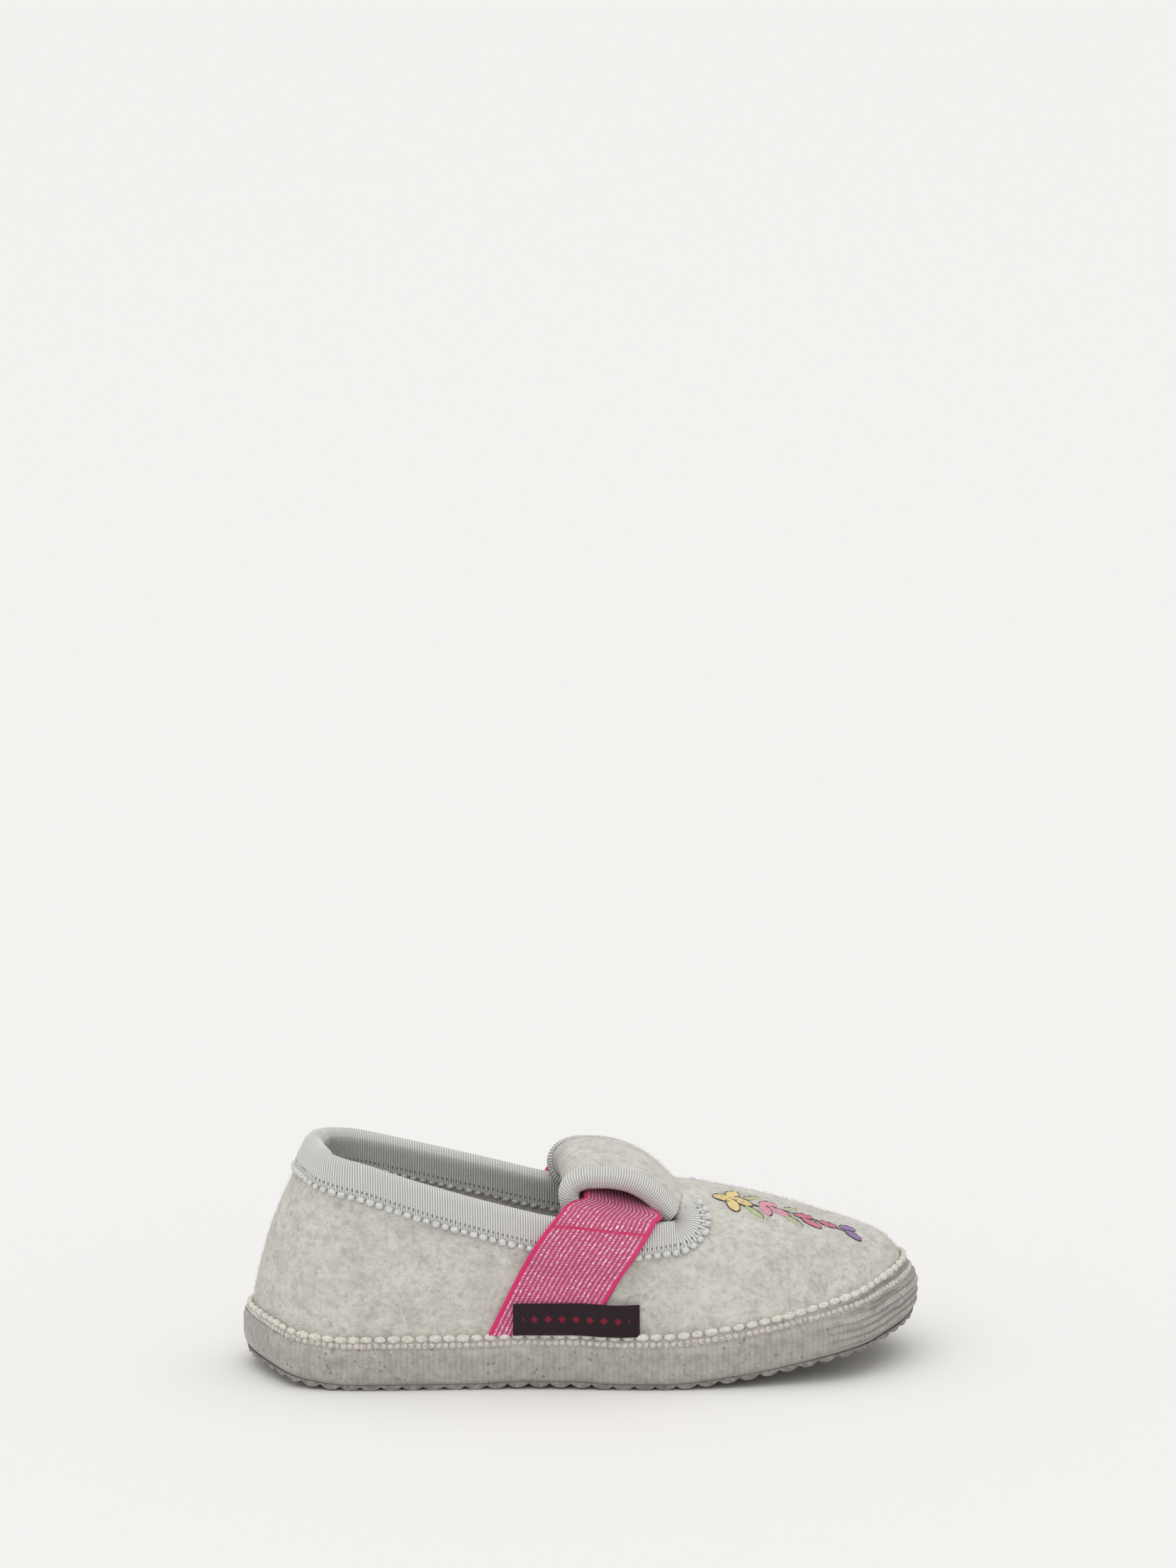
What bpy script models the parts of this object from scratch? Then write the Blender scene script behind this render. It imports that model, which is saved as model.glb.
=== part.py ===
"""A child's felt hut slipper: hollow felt upper with a strap loop, taped edges, elastic strap, rubber sole.

The toe points along +X, the lateral side is -Y, and the sole stands on z = 0. Lengths are in metres.
"""
import math

import bmesh
import bpy
import numpy as np

# Driving sizes of the whole slipper
LENGTH = 0.170
WIDTH = 0.070
THROAT_HEIGHT = 0.0449
COLLAR_HEIGHT = 0.0566
THROAT_ALONG = 0.0222
THROAT_BOW = 0.0026

# Felt, tape, elastic and label
FELT = 0.0026
INSOLE_FELT = 0.0025
TAPE = 0.0008
TAPE_REACH = 0.0072
LOOP_TAPE_REACH = 0.0035
LOOP_TAPE_START = 0.0040
NOTCH_GAP = 0.0030
NOTCH_TAPE_END = 20.0
STRAP_WIDTH = 0.0218
STRAP_THICKNESS = 0.0011
LABEL_LENGTH = 0.0310
LABEL_HEIGHT = 0.0078
LABEL_THICKNESS = 0.0005
LABEL_ALONG = -0.0040
LABEL_FALL = 0.0060

# Tongue loop: how far it reaches back and rises from the throat
LOOP_LENGTH = 0.0283
LOOP_RISE = 0.0102

# Sole and foxing
OUTSOLE = 0.0037
LUG_HEIGHT = 0.0011
LUG_PITCH = 0.0054
LUGS_PER_LENGTH = 1.25
RIM_LUG_WIDTH = 0.0045
GROOVE = 0.0016
TREAD_LIFT = 0.00015
FOXING = 0.0020
FOXING_HEIGHT = 0.0104
STITCH_BAND = 0.0028
STITCH_THICKNESS = 0.0012
TOE_SPRING = 0.0104
HEEL_ROUND = 0.0039
ARCH_RISE = 0.0006

# Clearances between pieces
GAP = 0.0003
SEAM_GAP = 0.0004
SOLE_GAP = 0.0005
STRAP_GAP = 0.0006

# Turning points of the plan: where the heel's and the toe's sections fan out, as shares of the length
HEEL_CENTRE = -0.33
TOE_CENTRE = 0.235
HEEL_SHARE = 0.22
MID_SHARE = 0.48

# Outline of the sole in plan: along as a share of LENGTH, across as a share of half the WIDTH
OUTLINE = (
    # name                 along    across
    ("heel back",          -0.500,   0.02),
    ("heel outer corner",  -0.462,  -0.50),
    ("heel outer",         -0.360,  -0.80),
    ("waist outer",        -0.120,  -0.86),
    ("ball outer",          0.130,  -0.99),
    ("little toe",          0.310,  -0.93),
    ("toe outer corner",    0.430,  -0.64),
    ("toe tip",             0.500,   0.06),
    ("big toe corner",      0.458,   0.58),
    ("big toe",             0.360,   0.88),
    ("ball inner",          0.220,   1.00),
    ("waist inner",        -0.060,   0.77),
    ("heel inner",         -0.340,   0.77),
    ("heel inner corner",  -0.458,   0.52),
)

# Underside: along as a share of LENGTH, toe spring, heel rounding and arch as shares of their sizes
UNDERSIDE = (
    # along  spring  heel  arch
    (-0.500, 0.000, 1.00, 0.0),
    (-0.455, 0.000, 0.62, 0.0),
    (-0.410, 0.000, 0.24, 0.0),
    (-0.350, 0.000, 0.00, 0.0),
    (-0.180, 0.000, 0.00, 0.0),
    (-0.090, 0.000, 0.00, 1.0),
    (-0.030, 0.000, 0.00, 1.0),
    (0.040,  0.000, 0.00, 0.0),
    (0.100,  0.000, 0.00, 0.0),
    (0.200,  0.150, 0.00, 0.0),
    (0.270,  0.320, 0.00, 0.0),
    (0.340,  0.520, 0.00, 0.0),
    (0.410,  0.710, 0.00, 0.0),
    (0.500,  1.000, 0.00, 0.0),
)

# Crown that the felt's sections rise to, as shares of LENGTH and THROAT_HEIGHT; open behind the throat
CROWN = (
    # along  height
    (-0.500, 1.59),
    (-0.330, 1.68),
    (-0.180, 1.60),
    (-0.030, 1.38),
    (0.070,  1.13),
    (0.131,  1.000),
    (0.180,  0.975),
    (0.240,  0.928),
    (0.305,  0.850),
    (0.370,  0.780),
    (0.430,  0.745),
    (0.500,  0.745),
)

# How full each section is, by station: 1 is a straight slope, higher is squarer
BULGE = (
    # station  fullness
    (0.00, 0.94),
    (0.09, 1.15),
    (0.22, 2.30),
    (0.40, 2.90),
    (0.58, 2.80),
    (0.70, 2.30),
    (0.80, 2.60),
    (0.90, 4.20),
    (1.00, 7.00),
)

# Top edge of the quarters, as shares of LENGTH and COLLAR_HEIGHT; the medial side stands a little higher
TOPLINE = (
    # along  lateral  medial
    (-0.400, 1.000,  1.000),
    (-0.335, 0.960,  0.968),
    (-0.260, 0.888,  0.912),
    (-0.190, 0.825,  0.858),
    (-0.125, 0.772,  0.808),
    (-0.055, 0.724,  0.752),
    (0.020,  0.695,  0.707),
    (0.131,  0.680,  0.680),
)

# Outer face of the tongue loop on its middle line, as shares of LOOP_LENGTH back and LOOP_RISE up
LOOP_PATH = (
    # back   rise
    (0.000,  0.00),
    (0.050,  0.11),
    (0.110,  0.30),
    (0.190,  0.52),
    (0.290,  0.72),
    (0.400,  0.87),
    (0.520,  0.96),
    (0.650,  1.00),
    (0.770,  1.00),
    (0.875,  0.94),
    (0.962,  0.78),
    (1.000,  0.53),
    (0.983,  0.26),
    (0.922,  0.07),
    (0.815,  -0.06),
    (0.660,  -0.16),
    (0.430,  -0.34),
    (0.200,  -0.58),
)

# Half width and side droop of the tongue loop, as shares of the throat's own, by share of the path
LOOP_SPREAD = (
    # way    width  droop
    (0.000,  1.00,  1.00),
    (0.250,  1.04,  0.86),
    (0.520,  1.05,  0.82),
    (0.620,  0.98,  0.88),
    (0.750,  0.87,  0.98),
    (1.000,  0.76,  1.00),
)

# Middle of the strap, by its share of the way from the sole seam to its crown
STRAP_RUN = (
    # way   along, as a share of LENGTH; width, as a share of STRAP_WIDTH
    (0.00, -0.0800, 1.00),
    (0.30, -0.0240, 1.00),
    (0.54,  0.0250, 0.96),
    (0.65,  0.0440, 0.80),
    (1.00,  0.0450, 0.78),
)
STRAP_CROWN = 0.0464
STRAP_TILT = 0.40
STRAP_SHOULDER = (0.0034, 0.0014)
STRAP_FLAT = (0.0110, 0.0060)

# Places where the tread's bars reach the floor, as shares of LENGTH: two under the heel, two under the ball
STANDS = (-0.335, -0.190, 0.048, 0.088)

# Side of the foxing: height as a share of FOXING_HEIGHT above the underside, inset as a share of FOXING
FOXING_SIDE = (
    # height  inset
    (0.12, 0.72),
    (0.26, 0.28),
    (0.55, 0.00),
    (0.88, 0.08),
    (0.98, 0.26),
)

# Height of the stitched band above the foxing, by station, as a share of STITCH_BAND
STITCH_RUN = (
    # station  height
    (0.00, 0.62),
    (0.30, 0.90),
    (0.62, 1.00),
    (0.85, 1.25),
    (1.00, 1.55),
)

# Fineness of the meshes
DENSE = 720
CURVE_STEPS = 96


def smooth(at, table, column=1):
    """Smooth curve through a table without overshoot: cubic pieces with limited slopes."""
    xs = np.array([row[0] for row in table], dtype=float)
    ys = np.array([row[column] for row in table], dtype=float)
    step = np.diff(xs)
    slope = np.diff(ys) / step
    inner = np.zeros(len(slope) - 1)
    same = slope[:-1] * slope[1:] > 0
    inner[same] = 2 * slope[:-1][same] * slope[1:][same] / (slope[:-1][same] + slope[1:][same])
    grade = np.concatenate(([slope[0]], inner, [slope[-1]]))
    at = np.clip(np.asarray(at, dtype=float), xs[0], xs[-1])
    left = np.clip(np.searchsorted(xs, at, side="right") - 1, 0, len(step) - 1)
    t = (at - xs[left]) / step[left]
    start = ys[left] * (1 + 2 * t) * (1 - t) ** 2 + ys[left + 1] * t * t * (3 - 2 * t)
    turn = step[left] * (grade[left] * t * (1 - t) ** 2 - grade[left + 1] * t * t * (1 - t))
    return start + turn


def closed_spline(points, count):
    """Points on the closed cubic curve through the given points, spaced evenly in chord length."""
    points = np.asarray(points, dtype=float)
    total = len(points)
    chord = np.linalg.norm(np.roll(points, -1, axis=0) - points, axis=1)
    knots = np.concatenate(([0.0], np.cumsum(chord)))
    system = np.zeros((total, total))
    right = np.zeros_like(points)
    for i in range(total):
        before = chord[i - 1]
        after = chord[i]
        system[i, i - 1] += after
        system[i, i] += 2 * (before + after)
        system[i, (i + 1) % total] += before
        rise_after = (points[(i + 1) % total] - points[i]) / after
        rise_before = (points[i] - points[i - 1]) / before
        right[i] = 3 * (before * rise_after + after * rise_before)
    slope = np.linalg.solve(system, right)
    at = np.linspace(0, knots[-1], count, endpoint=False)
    left = np.clip(np.searchsorted(knots, at, side="right") - 1, 0, total - 1)
    follow = (left + 1) % total
    t = ((at - knots[left]) / chord[left])[:, None]
    span = chord[left][:, None]
    value = points[left] * (1 + 2 * t) * (1 - t) ** 2 + points[follow] * t * t * (3 - 2 * t)
    return value + span * (slope[left] * t * (1 - t) ** 2 - slope[follow] * t * t * (1 - t))


def sole_outline():
    """The sole's outline, stretched so that it is exactly LENGTH by WIDTH about its middle."""
    raw = closed_spline([(row[1], row[2]) for row in OUTLINE], DENSE)
    low = raw.min(axis=0)
    high = raw.max(axis=0)
    return (raw - (low + high) / 2) / (high - low) * (LENGTH, WIDTH)


class Plan:
    """One outline in plan, read by station (0 heel back, 1 toe tip) and side (-1 lateral, 1 medial)."""

    def __init__(self, inset):
        outline = sole_outline()
        along = np.roll(outline, -1, axis=0) - np.roll(outline, 1, axis=0)
        along /= np.linalg.norm(along, axis=1)[:, None]
        inward = np.stack((-along[:, 1], along[:, 0]), axis=1)
        self.ring = outline + inset * inward
        self.heel_x = HEEL_CENTRE * LENGTH
        self.toe_x = TOE_CENTRE * LENGTH

    def fan(self, centre, angle):
        """Where rays from a centre, at these angles from +X, meet the outline."""
        arm = self.ring - centre
        bearing = np.arctan2(arm[:, 1], arm[:, 0])
        order = np.argsort(bearing)
        reach = np.linalg.norm(arm, axis=1)[order]
        wrapped = (angle + math.pi) % (2 * math.pi) - math.pi
        reach = np.interp(wrapped, bearing[order], reach, period=2 * math.pi)
        return centre + reach[:, None] * np.stack((np.cos(angle), np.sin(angle)), axis=1)

    def side_y(self, x, side):
        """Across position of one side of the outline at these x."""
        half = self.ring[self.ring[:, 1] * side > 0]
        half = half[np.argsort(half[:, 0])]
        return np.interp(x, half[:, 0], half[:, 1])

    def at(self, station, side):
        """Rim point and spine point of each station."""
        station = np.clip(np.asarray(station, dtype=float), 0, 1)
        x = self.heel_x + (station - HEEL_SHARE) / MID_SHARE * (self.toe_x - self.heel_x)
        rim = np.stack((x, self.side_y(x, side)), axis=1)
        spine = np.stack((np.clip(x, self.heel_x, self.toe_x), np.zeros_like(x)), axis=1)
        heel = station < HEEL_SHARE
        turn = math.pi - side * (math.pi / 2) * station / HEEL_SHARE
        rim[heel] = self.fan(np.array((self.heel_x, 0.0)), turn[heel])
        toe = station > HEEL_SHARE + MID_SHARE
        past = (station - HEEL_SHARE - MID_SHARE) / (1 - HEEL_SHARE - MID_SHARE)
        turn = side * (math.pi / 2) * (1 - past)
        rim[toe] = self.fan(np.array((self.toe_x, 0.0)), turn[toe])
        return rim, spine


def station_of(x):
    """Station of a section that stands across the slipper at x."""
    start = HEEL_CENTRE * LENGTH
    return HEEL_SHARE + (x - start) / ((TOE_CENTRE - HEEL_CENTRE) * LENGTH) * MID_SHARE


def along_of(station):
    """Distance along the slipper that a station stands for, also round the heel and toe."""
    return HEEL_CENTRE * LENGTH + (station - HEEL_SHARE) / MID_SHARE * (TOE_CENTRE - HEEL_CENTRE) * LENGTH


def underside(x):
    """Height of the sole's underside above the floor."""
    share = np.asarray(x) / LENGTH
    spring = smooth(share, UNDERSIDE, 1) * TOE_SPRING
    heel = smooth(share, UNDERSIDE, 2) * HEEL_ROUND
    return spring + heel + smooth(share, UNDERSIDE, 3) * ARCH_RISE


def crown(x):
    """Height that the sections rise to on the middle line."""
    return smooth(np.asarray(x) / LENGTH, CROWN) * THROAT_HEIGHT


FELT_PLAN = Plan(FOXING + GAP)
FOXING_PLAN = Plan(0.0)


def section_curves(station, side):
    """Dense points up each section of the felt's outer face, and the arc lengths to them."""
    rim, spine = FELT_PLAN.at(station, side)
    up = np.linspace(0, 1, CURVE_STEPS)
    reach = 1 - up ** 2
    fullness = smooth(station, BULGE)[:, None]
    rise = np.sqrt(1 - reach[None, :] ** fullness)
    plan = spine[:, None, :] + reach[None, :, None] * (rim - spine)[:, None, :]
    foot = (underside(rim[:, 0]) + OUTSOLE + GAP)[:, None]
    height = foot + (crown(plan[..., 0]) - foot) * rise
    points = np.concatenate((plan, height[..., None]), axis=2)
    step = np.linalg.norm(np.diff(points, axis=1), axis=2)
    arc = np.concatenate((np.zeros((len(points), 1)), np.cumsum(step, axis=1)), axis=1)
    return points, arc


def pick(points, arc, wanted):
    """Point at one wanted arc length on each curve of a stack."""
    wanted = np.clip(wanted, 0, arc[:, -1])
    left = np.clip((arc <= wanted[:, None]).sum(axis=1) - 1, 0, arc.shape[1] - 2)
    row = np.arange(len(arc))
    share = (wanted - arc[row, left]) / (arc[row, left + 1] - arc[row, left])
    return points[row, left] + share[:, None] * (points[row, left + 1] - points[row, left])


def felt(along, arc, side):
    """Outer face of the felt at a distance along and an arc length up from its foot."""
    station = HEEL_SHARE + (along - HEEL_CENTRE * LENGTH) / (
        (TOE_CENTRE - HEEL_CENTRE) * LENGTH) * MID_SHARE
    points, arcs = section_curves(np.clip(station, 0, 1), side)
    return pick(points, arcs, arc)


def facing(surface, along, arc, side):
    """Outward unit normal of a surface given as a function of along and arc."""
    nudge = 2e-5
    run = surface(along + nudge, arc) - surface(along - nudge, arc)
    climb = surface(along, arc + nudge) - surface(along, arc - nudge)
    normal = np.cross(run, climb) * -side
    return normal / np.linalg.norm(normal, axis=1)[:, None]


def arc_at_height(station, side, height):
    """Arc length up each section to where it reaches a height."""
    points, arc = section_curves(station, side)
    reached = (points[..., 2] < height[:, None]).sum(axis=1)
    left = np.clip(reached - 1, 0, arc.shape[1] - 2)
    row = np.arange(len(arc))
    low = points[row, left, 2]
    share = np.clip((height - low) / (points[row, left + 1, 2] - low), 0, 1)
    return arc[row, left] + share * (arc[row, left + 1] - arc[row, left])


def topline_arc(station, side):
    """Arc length up each section to the top edge of the quarters."""
    rim, _ = FELT_PLAN.at(station, side)
    points, _ = section_curves(station, side)
    x = points[:, int(CURVE_STEPS * 0.6), 0]
    height = smooth(x / LENGTH, TOPLINE, 1 if side < 0 else 2) * COLLAR_HEIGHT
    return arc_at_height(station, side, height)


def make_object(name, bm, material, smooth_angle=40):
    """Put a bmesh in the scene as one named, smoothly shaded object."""
    bmesh.ops.remove_doubles(bm, verts=bm.verts, dist=2e-6)
    bmesh.ops.recalc_face_normals(bm, faces=bm.faces)
    mesh = bpy.data.meshes.new(name)
    bm.to_mesh(mesh)
    bm.free()
    mesh.shade_smooth()
    mesh.set_sharp_from_angle(angle=math.radians(smooth_angle))
    mesh.materials.append(material)
    obj = bpy.data.objects.new(name, mesh)
    bpy.context.scene.collection.objects.link(obj)
    return obj


def make_material(name, colour, roughness, metallic=0.0):
    """A plain Principled material."""
    material = bpy.data.materials.new(name)
    material.use_nodes = True
    shader = material.node_tree.nodes["Principled BSDF"]
    shader.inputs["Base Color"].default_value = (*colour, 1.0)
    shader.inputs["Roughness"].default_value = roughness
    shader.inputs["Metallic"].default_value = metallic
    return material


def add_grid(bm, rows, wrap_rows=False, wrap_columns=False):
    """Quads between the rows of points; returns the vertices row by row."""
    verts = [[bm.verts.new(point) for point in row] for row in rows]
    last_row = len(verts) if wrap_rows else len(verts) - 1
    columns = len(verts[0])
    last_column = columns if wrap_columns else columns - 1
    for i in range(last_row):
        upper_row = verts[(i + 1) % len(verts)]
        for j in range(last_column):
            k = (j + 1) % columns
            bm.faces.new((verts[i][j], verts[i][k], upper_row[k], upper_row[j]))
    return verts


def build_sheet_solid(name, bm, thickness, material):
    """Weld a sheet whose faces point out and give it its thickness inwards."""
    bmesh.ops.remove_doubles(bm, verts=bm.verts, dist=2e-6)
    bmesh.ops.recalc_face_normals(bm, faces=bm.faces)
    obj = make_object(name, bm, material)
    wall = obj.modifiers.new("wall", "SOLIDIFY")
    wall.thickness = thickness
    wall.offset = -1
    wall.use_even_offset = False
    return obj


THROAT_STATION = float(station_of(THROAT_ALONG))
QUARTER_ROWS = 8
VAMP_ROWS = 6
QUARTER_STATIONS = np.concatenate((
    np.linspace(0, HEEL_SHARE, 9), np.linspace(HEEL_SHARE, THROAT_STATION, 15)[1:]))
VAMP_STATIONS = np.concatenate((
    np.linspace(THROAT_STATION, HEEL_SHARE + MID_SHARE, 5), np.linspace(HEEL_SHARE + MID_SHARE, 1, 12)[1:]))
ALL_STATIONS = np.concatenate((QUARTER_STATIONS, VAMP_STATIONS[1:]))


def notch_arcs(side):
    """Arc lengths up the throat's section to the notch's lower and upper end and to the ridge."""
    station = np.array([THROAT_STATION])
    low = topline_arc(station, side)[0]
    return low, low + NOTCH_GAP, section_curves(station, side)[1][0, -1]


THROAT_EDGE = {side: notch_arcs(side) for side in (-1, 1)}
NOTCH_SHARE = {side: [arc / THROAT_EDGE[side][2] for arc in THROAT_EDGE[side][:2]] for side in (-1, 1)}
MEETING_SHARE = [(NOTCH_SHARE[-1][end] + NOTCH_SHARE[1][end]) / 2 for end in (0, 1)]


def vamp_point(along, above, end, side):
    """Point over the vamp, at a share of the way from the end of the notch's line up to the ridge."""
    full = section_curves(np.clip(station_of(along), 0, 1), side)[1][:, -1]
    return felt(along, full * (end + (1 - end) * above), side)


def throat_point(across):
    """Point of the throat's edge at a share across, -1 at the lateral and 1 at the medial notch."""
    across = np.asarray(across, dtype=float)
    result = np.zeros((len(across), 3))
    for side in (-1, 1):
        mine = across > 0 if side > 0 else across <= 0
        along = THROAT_ALONG + THROAT_BOW * (1 - across[mine] ** 2)
        result[mine] = vamp_point(along, 1 - np.abs(across[mine]), NOTCH_SHARE[side][1], side)
    return result


def loop_curve():
    """Dense points of the loop's middle line as offsets back and up from the throat, with arc lengths."""
    offsets = np.array(LOOP_PATH) * (-LOOP_LENGTH, LOOP_RISE)
    chord = np.concatenate(([0.0], np.cumsum(np.linalg.norm(np.diff(offsets, axis=0), axis=1))))
    at = np.linspace(0, chord[-1], 200)
    back = smooth(at, list(zip(chord, offsets[:, 0])))
    rise = smooth(at, list(zip(chord, offsets[:, 1])))
    return np.stack((back, rise), axis=1), at


LOOP_LINE, LOOP_ARC = loop_curve()
LOOP_FOLD = (0.47, 0.68)
LOOP_WAYS = LOOP_ARC[-1] * np.concatenate((
    np.linspace(0, LOOP_FOLD[0], 10), np.linspace(*LOOP_FOLD, 9)[1:], np.linspace(LOOP_FOLD[1], 1, 6)[1:]))


def loop_face(way, across):
    """Outer face of the tongue loop: way is the distance from the throat, across a share of its width."""
    root = throat_point(across)
    ridge = throat_point(np.zeros(1))[0]
    back = np.interp(way, LOOP_ARC, LOOP_LINE[:, 0])
    rise = np.interp(way, LOOP_ARC, LOOP_LINE[:, 1])
    share = way / LOOP_ARC[-1]
    drop = (ridge[2] - root[:, 2]) * smooth(share, LOOP_SPREAD, 2)
    y = root[:, 1] * smooth(share, LOOP_SPREAD, 1)
    x = root[:, 0] + back * (root[:, 0] - THROAT_ALONG + LOOP_LENGTH) / LOOP_LENGTH
    return np.stack((x, y, ridge[2] + rise - drop), axis=1)


def build_upper(material):
    """The hollow felt upper: quarters, vamp and the tongue folded back as a loop, one sheet of felt."""
    bm = bmesh.new()
    for side in (-1, 1):
        stations = QUARTER_STATIONS
        top = topline_arc(stations, side)
        rows = []
        for share in np.linspace(0, 1, QUARTER_ROWS + 1):
            rows.append(felt(along_of(stations), top * share, side))
        add_grid(bm, rows)
        stations = VAMP_STATIONS
        full = section_curves(stations, side)[1][:, -1]
        blend = (stations - THROAT_STATION) / (1 - THROAT_STATION)
        notch, end = (NOTCH_SHARE[side][k] * (1 - blend) + MEETING_SHARE[k] * blend for k in (0, 1))
        rows = [felt(along_of(stations), full * notch * share, side)
                for share in np.linspace(0, 1, QUARTER_ROWS + 1)]
        fade = np.clip((HEEL_SHARE + MID_SHARE - stations) / (HEEL_SHARE + MID_SHARE - stations[0]), 0, 1)
        for above in np.linspace(0, 1, VAMP_ROWS + 1):
            along = along_of(stations) + THROAT_BOW * (1 - (1 - above) ** 2) * fade
            rows.append(vamp_point(along, above, end, side))
        add_grid(bm, rows)
    across = np.concatenate((np.linspace(-1, 0, VAMP_ROWS + 1), np.linspace(0, 1, VAMP_ROWS + 1)[1:]))
    rows = []
    for way in LOOP_WAYS:
        rows.append(loop_face(np.full(across.shape, way), across))
    add_grid(bm, rows)
    return build_sheet_solid("upper", bm, FELT, material)


def tape_rows(surface, edge, reach, wraps, side):
    """Sections of tape over a felt edge; one that wraps goes round under the felt too.

    Edge rows hold along, arc and the direction into the felt.
    """
    along, arc, angle = (np.asarray(column, dtype=float) for column in zip(*edge))

    def at(depth):
        return along + depth * np.cos(angle), arc + depth * np.sin(angle)

    rim = surface(along, arc)
    rim_normal = facing(surface, along, arc, side)
    inward = surface(*at(0.001)) - rim
    inward /= np.linalg.norm(inward, axis=1)[:, None]

    def leaf(depth, height):
        if depth <= 0:
            return rim + depth * inward + height * rim_normal
        a, b = at(depth)
        return surface(a, b) + height * facing(surface, a, b, side)

    outer = SEAM_GAP
    inner = -FELT - SEAM_GAP
    middle = -FELT / 2
    half = FELT / 2 + SEAM_GAP
    ring = [
        leaf(reach, outer),
        leaf(reach, outer + TAPE),
        leaf(reach / 2, outer + TAPE),
        leaf(0, outer + TAPE),
        leaf(-SEAM_GAP - 0.75 * TAPE, middle + 0.75 * half),
        leaf(-SEAM_GAP - TAPE, middle),
        leaf(-SEAM_GAP - 0.75 * TAPE, middle - 0.75 * half),
    ]
    if wraps:
        ring += [
            leaf(0, inner - TAPE),
            leaf(reach / 2, inner - TAPE),
            leaf(reach, inner - TAPE),
            leaf(reach, inner),
            leaf(reach / 2, inner),
            leaf(-SEAM_GAP, inner),
        ]
    else:
        ring.append(leaf(-SEAM_GAP, -FELT))
    ring += [
        leaf(-SEAM_GAP, outer),
        leaf(reach / 2, outer),
    ]
    return np.stack(ring, axis=1)


# Faces that close a tape's ends, as places in its section: once round the edge, and on the face only
WRAPPED_END = (
    (1, 0, 14, 2), (2, 14, 13, 3), (3, 13, 4), (4, 13, 5), (5, 13, 12),
    (5, 12, 6), (6, 12, 7), (7, 12, 11, 8), (8, 11, 10, 9),
)
FOLDED_END = ((1, 0, 9, 2), (2, 9, 8, 3), (3, 8, 4), (4, 8, 5), (5, 8, 7), (5, 7, 6))


def build_tape(name, rows, material):
    """One closed length of tape from its sections."""
    bm = bmesh.new()
    verts = add_grid(bm, rows, wrap_columns=True)
    ends = WRAPPED_END if rows.shape[1] > 10 else FOLDED_END
    for row in (verts[0], verts[-1]):
        for face in ends:
            bm.faces.new([row[place] for place in face])
    return make_object(name, bm, material)


def collar_rows(side):
    """Tape from the heel along one quarter and round the notch."""
    turn = NOTCH_GAP / 2
    stations = QUARTER_STATIONS[along_of(QUARTER_STATIONS) < THROAT_ALONG - turn]
    edge = [(along, arc, -math.pi / 2)
            for along, arc in zip(along_of(stations), topline_arc(stations, side))]
    centre_arc = THROAT_EDGE[side][0] + turn
    for angle in np.radians(np.linspace(-90, NOTCH_TAPE_END, 7)):
        edge.append((THROAT_ALONG - turn + turn * math.cos(angle), centre_arc + turn * math.sin(angle), angle))
    return tape_rows(lambda along, arc: felt(along, arc, side), edge, TAPE_REACH, True, side)


def build_collar_binding(material):
    """Ribbed tape round the topline, from notch to notch round the heel."""
    lateral = collar_rows(-1)
    medial = collar_rows(1)
    return build_tape("collar_binding", np.concatenate((lateral[::-1], medial[1:])), material)


def build_loop_binding(name, side, material):
    """Tape on one side edge of the tongue loop, from near its root round the fold."""
    _, low, high = THROAT_EDGE[side]
    half = high - low
    ways = LOOP_WAYS[LOOP_WAYS > LOOP_TAPE_START]
    edge = [(way, half, -math.pi / 2) for way in ways]
    rows = tape_rows(lambda way, arc: loop_face(way, side * arc / half), edge, LOOP_TAPE_REACH, False, side)
    return build_tape(name, rows, material)


def foxing_top(station, share=1.0):
    """Height of the stitched band's top, or of a share of the band, at each station."""
    rim, _ = FELT_PLAN.at(station, -1)
    band = smooth(station, STITCH_RUN) * STITCH_BAND
    return underside(rim[:, 0]) + FOXING_HEIGHT + band * share


def build_foxing(material):
    """Band round the sole's side and the felt's foot, with the thinner stitched band on top."""
    stations = ALL_STATIONS
    halves = []
    for side in (-1, 1):
        rim, _ = FOXING_PLAN.at(stations, side)
        base = underside(rim[:, 0])
        ring = []
        for height, inset in FOXING_SIDE:
            point, _ = Plan(inset * FOXING).at(stations, side)
            ring.append(np.column_stack((point, base + height * FOXING_HEIGHT)))
        along = along_of(stations)
        for share in (0.0, 1.0):
            arc = arc_at_height(stations, side, foxing_top(stations, share))
            face = felt(along, arc, side)
            normal = facing(lambda a, b: felt(a, b, side), along, arc, side)
            ring.append(face + (GAP + STITCH_THICKNESS) * normal)
        for share in (1.0, 0.0):
            arc = arc_at_height(stations, side, foxing_top(stations, share))
            face = felt(along, arc, side)
            normal = facing(lambda a, b: felt(a, b, side), along, arc, side)
            ring.append(face + GAP * normal)
        inner, _ = Plan(FOXING).at(stations, side)
        for height in (0.4, 0.12):
            ring.append(np.column_stack((inner, base + height * FOXING_HEIGHT)))
        halves.append(np.stack(ring, axis=1))
    rows = np.concatenate((halves[0], halves[1][-2:0:-1]))
    bm = bmesh.new()
    add_grid(bm, rows, wrap_rows=True, wrap_columns=True)
    return make_object("foxing", bm, material)


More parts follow.
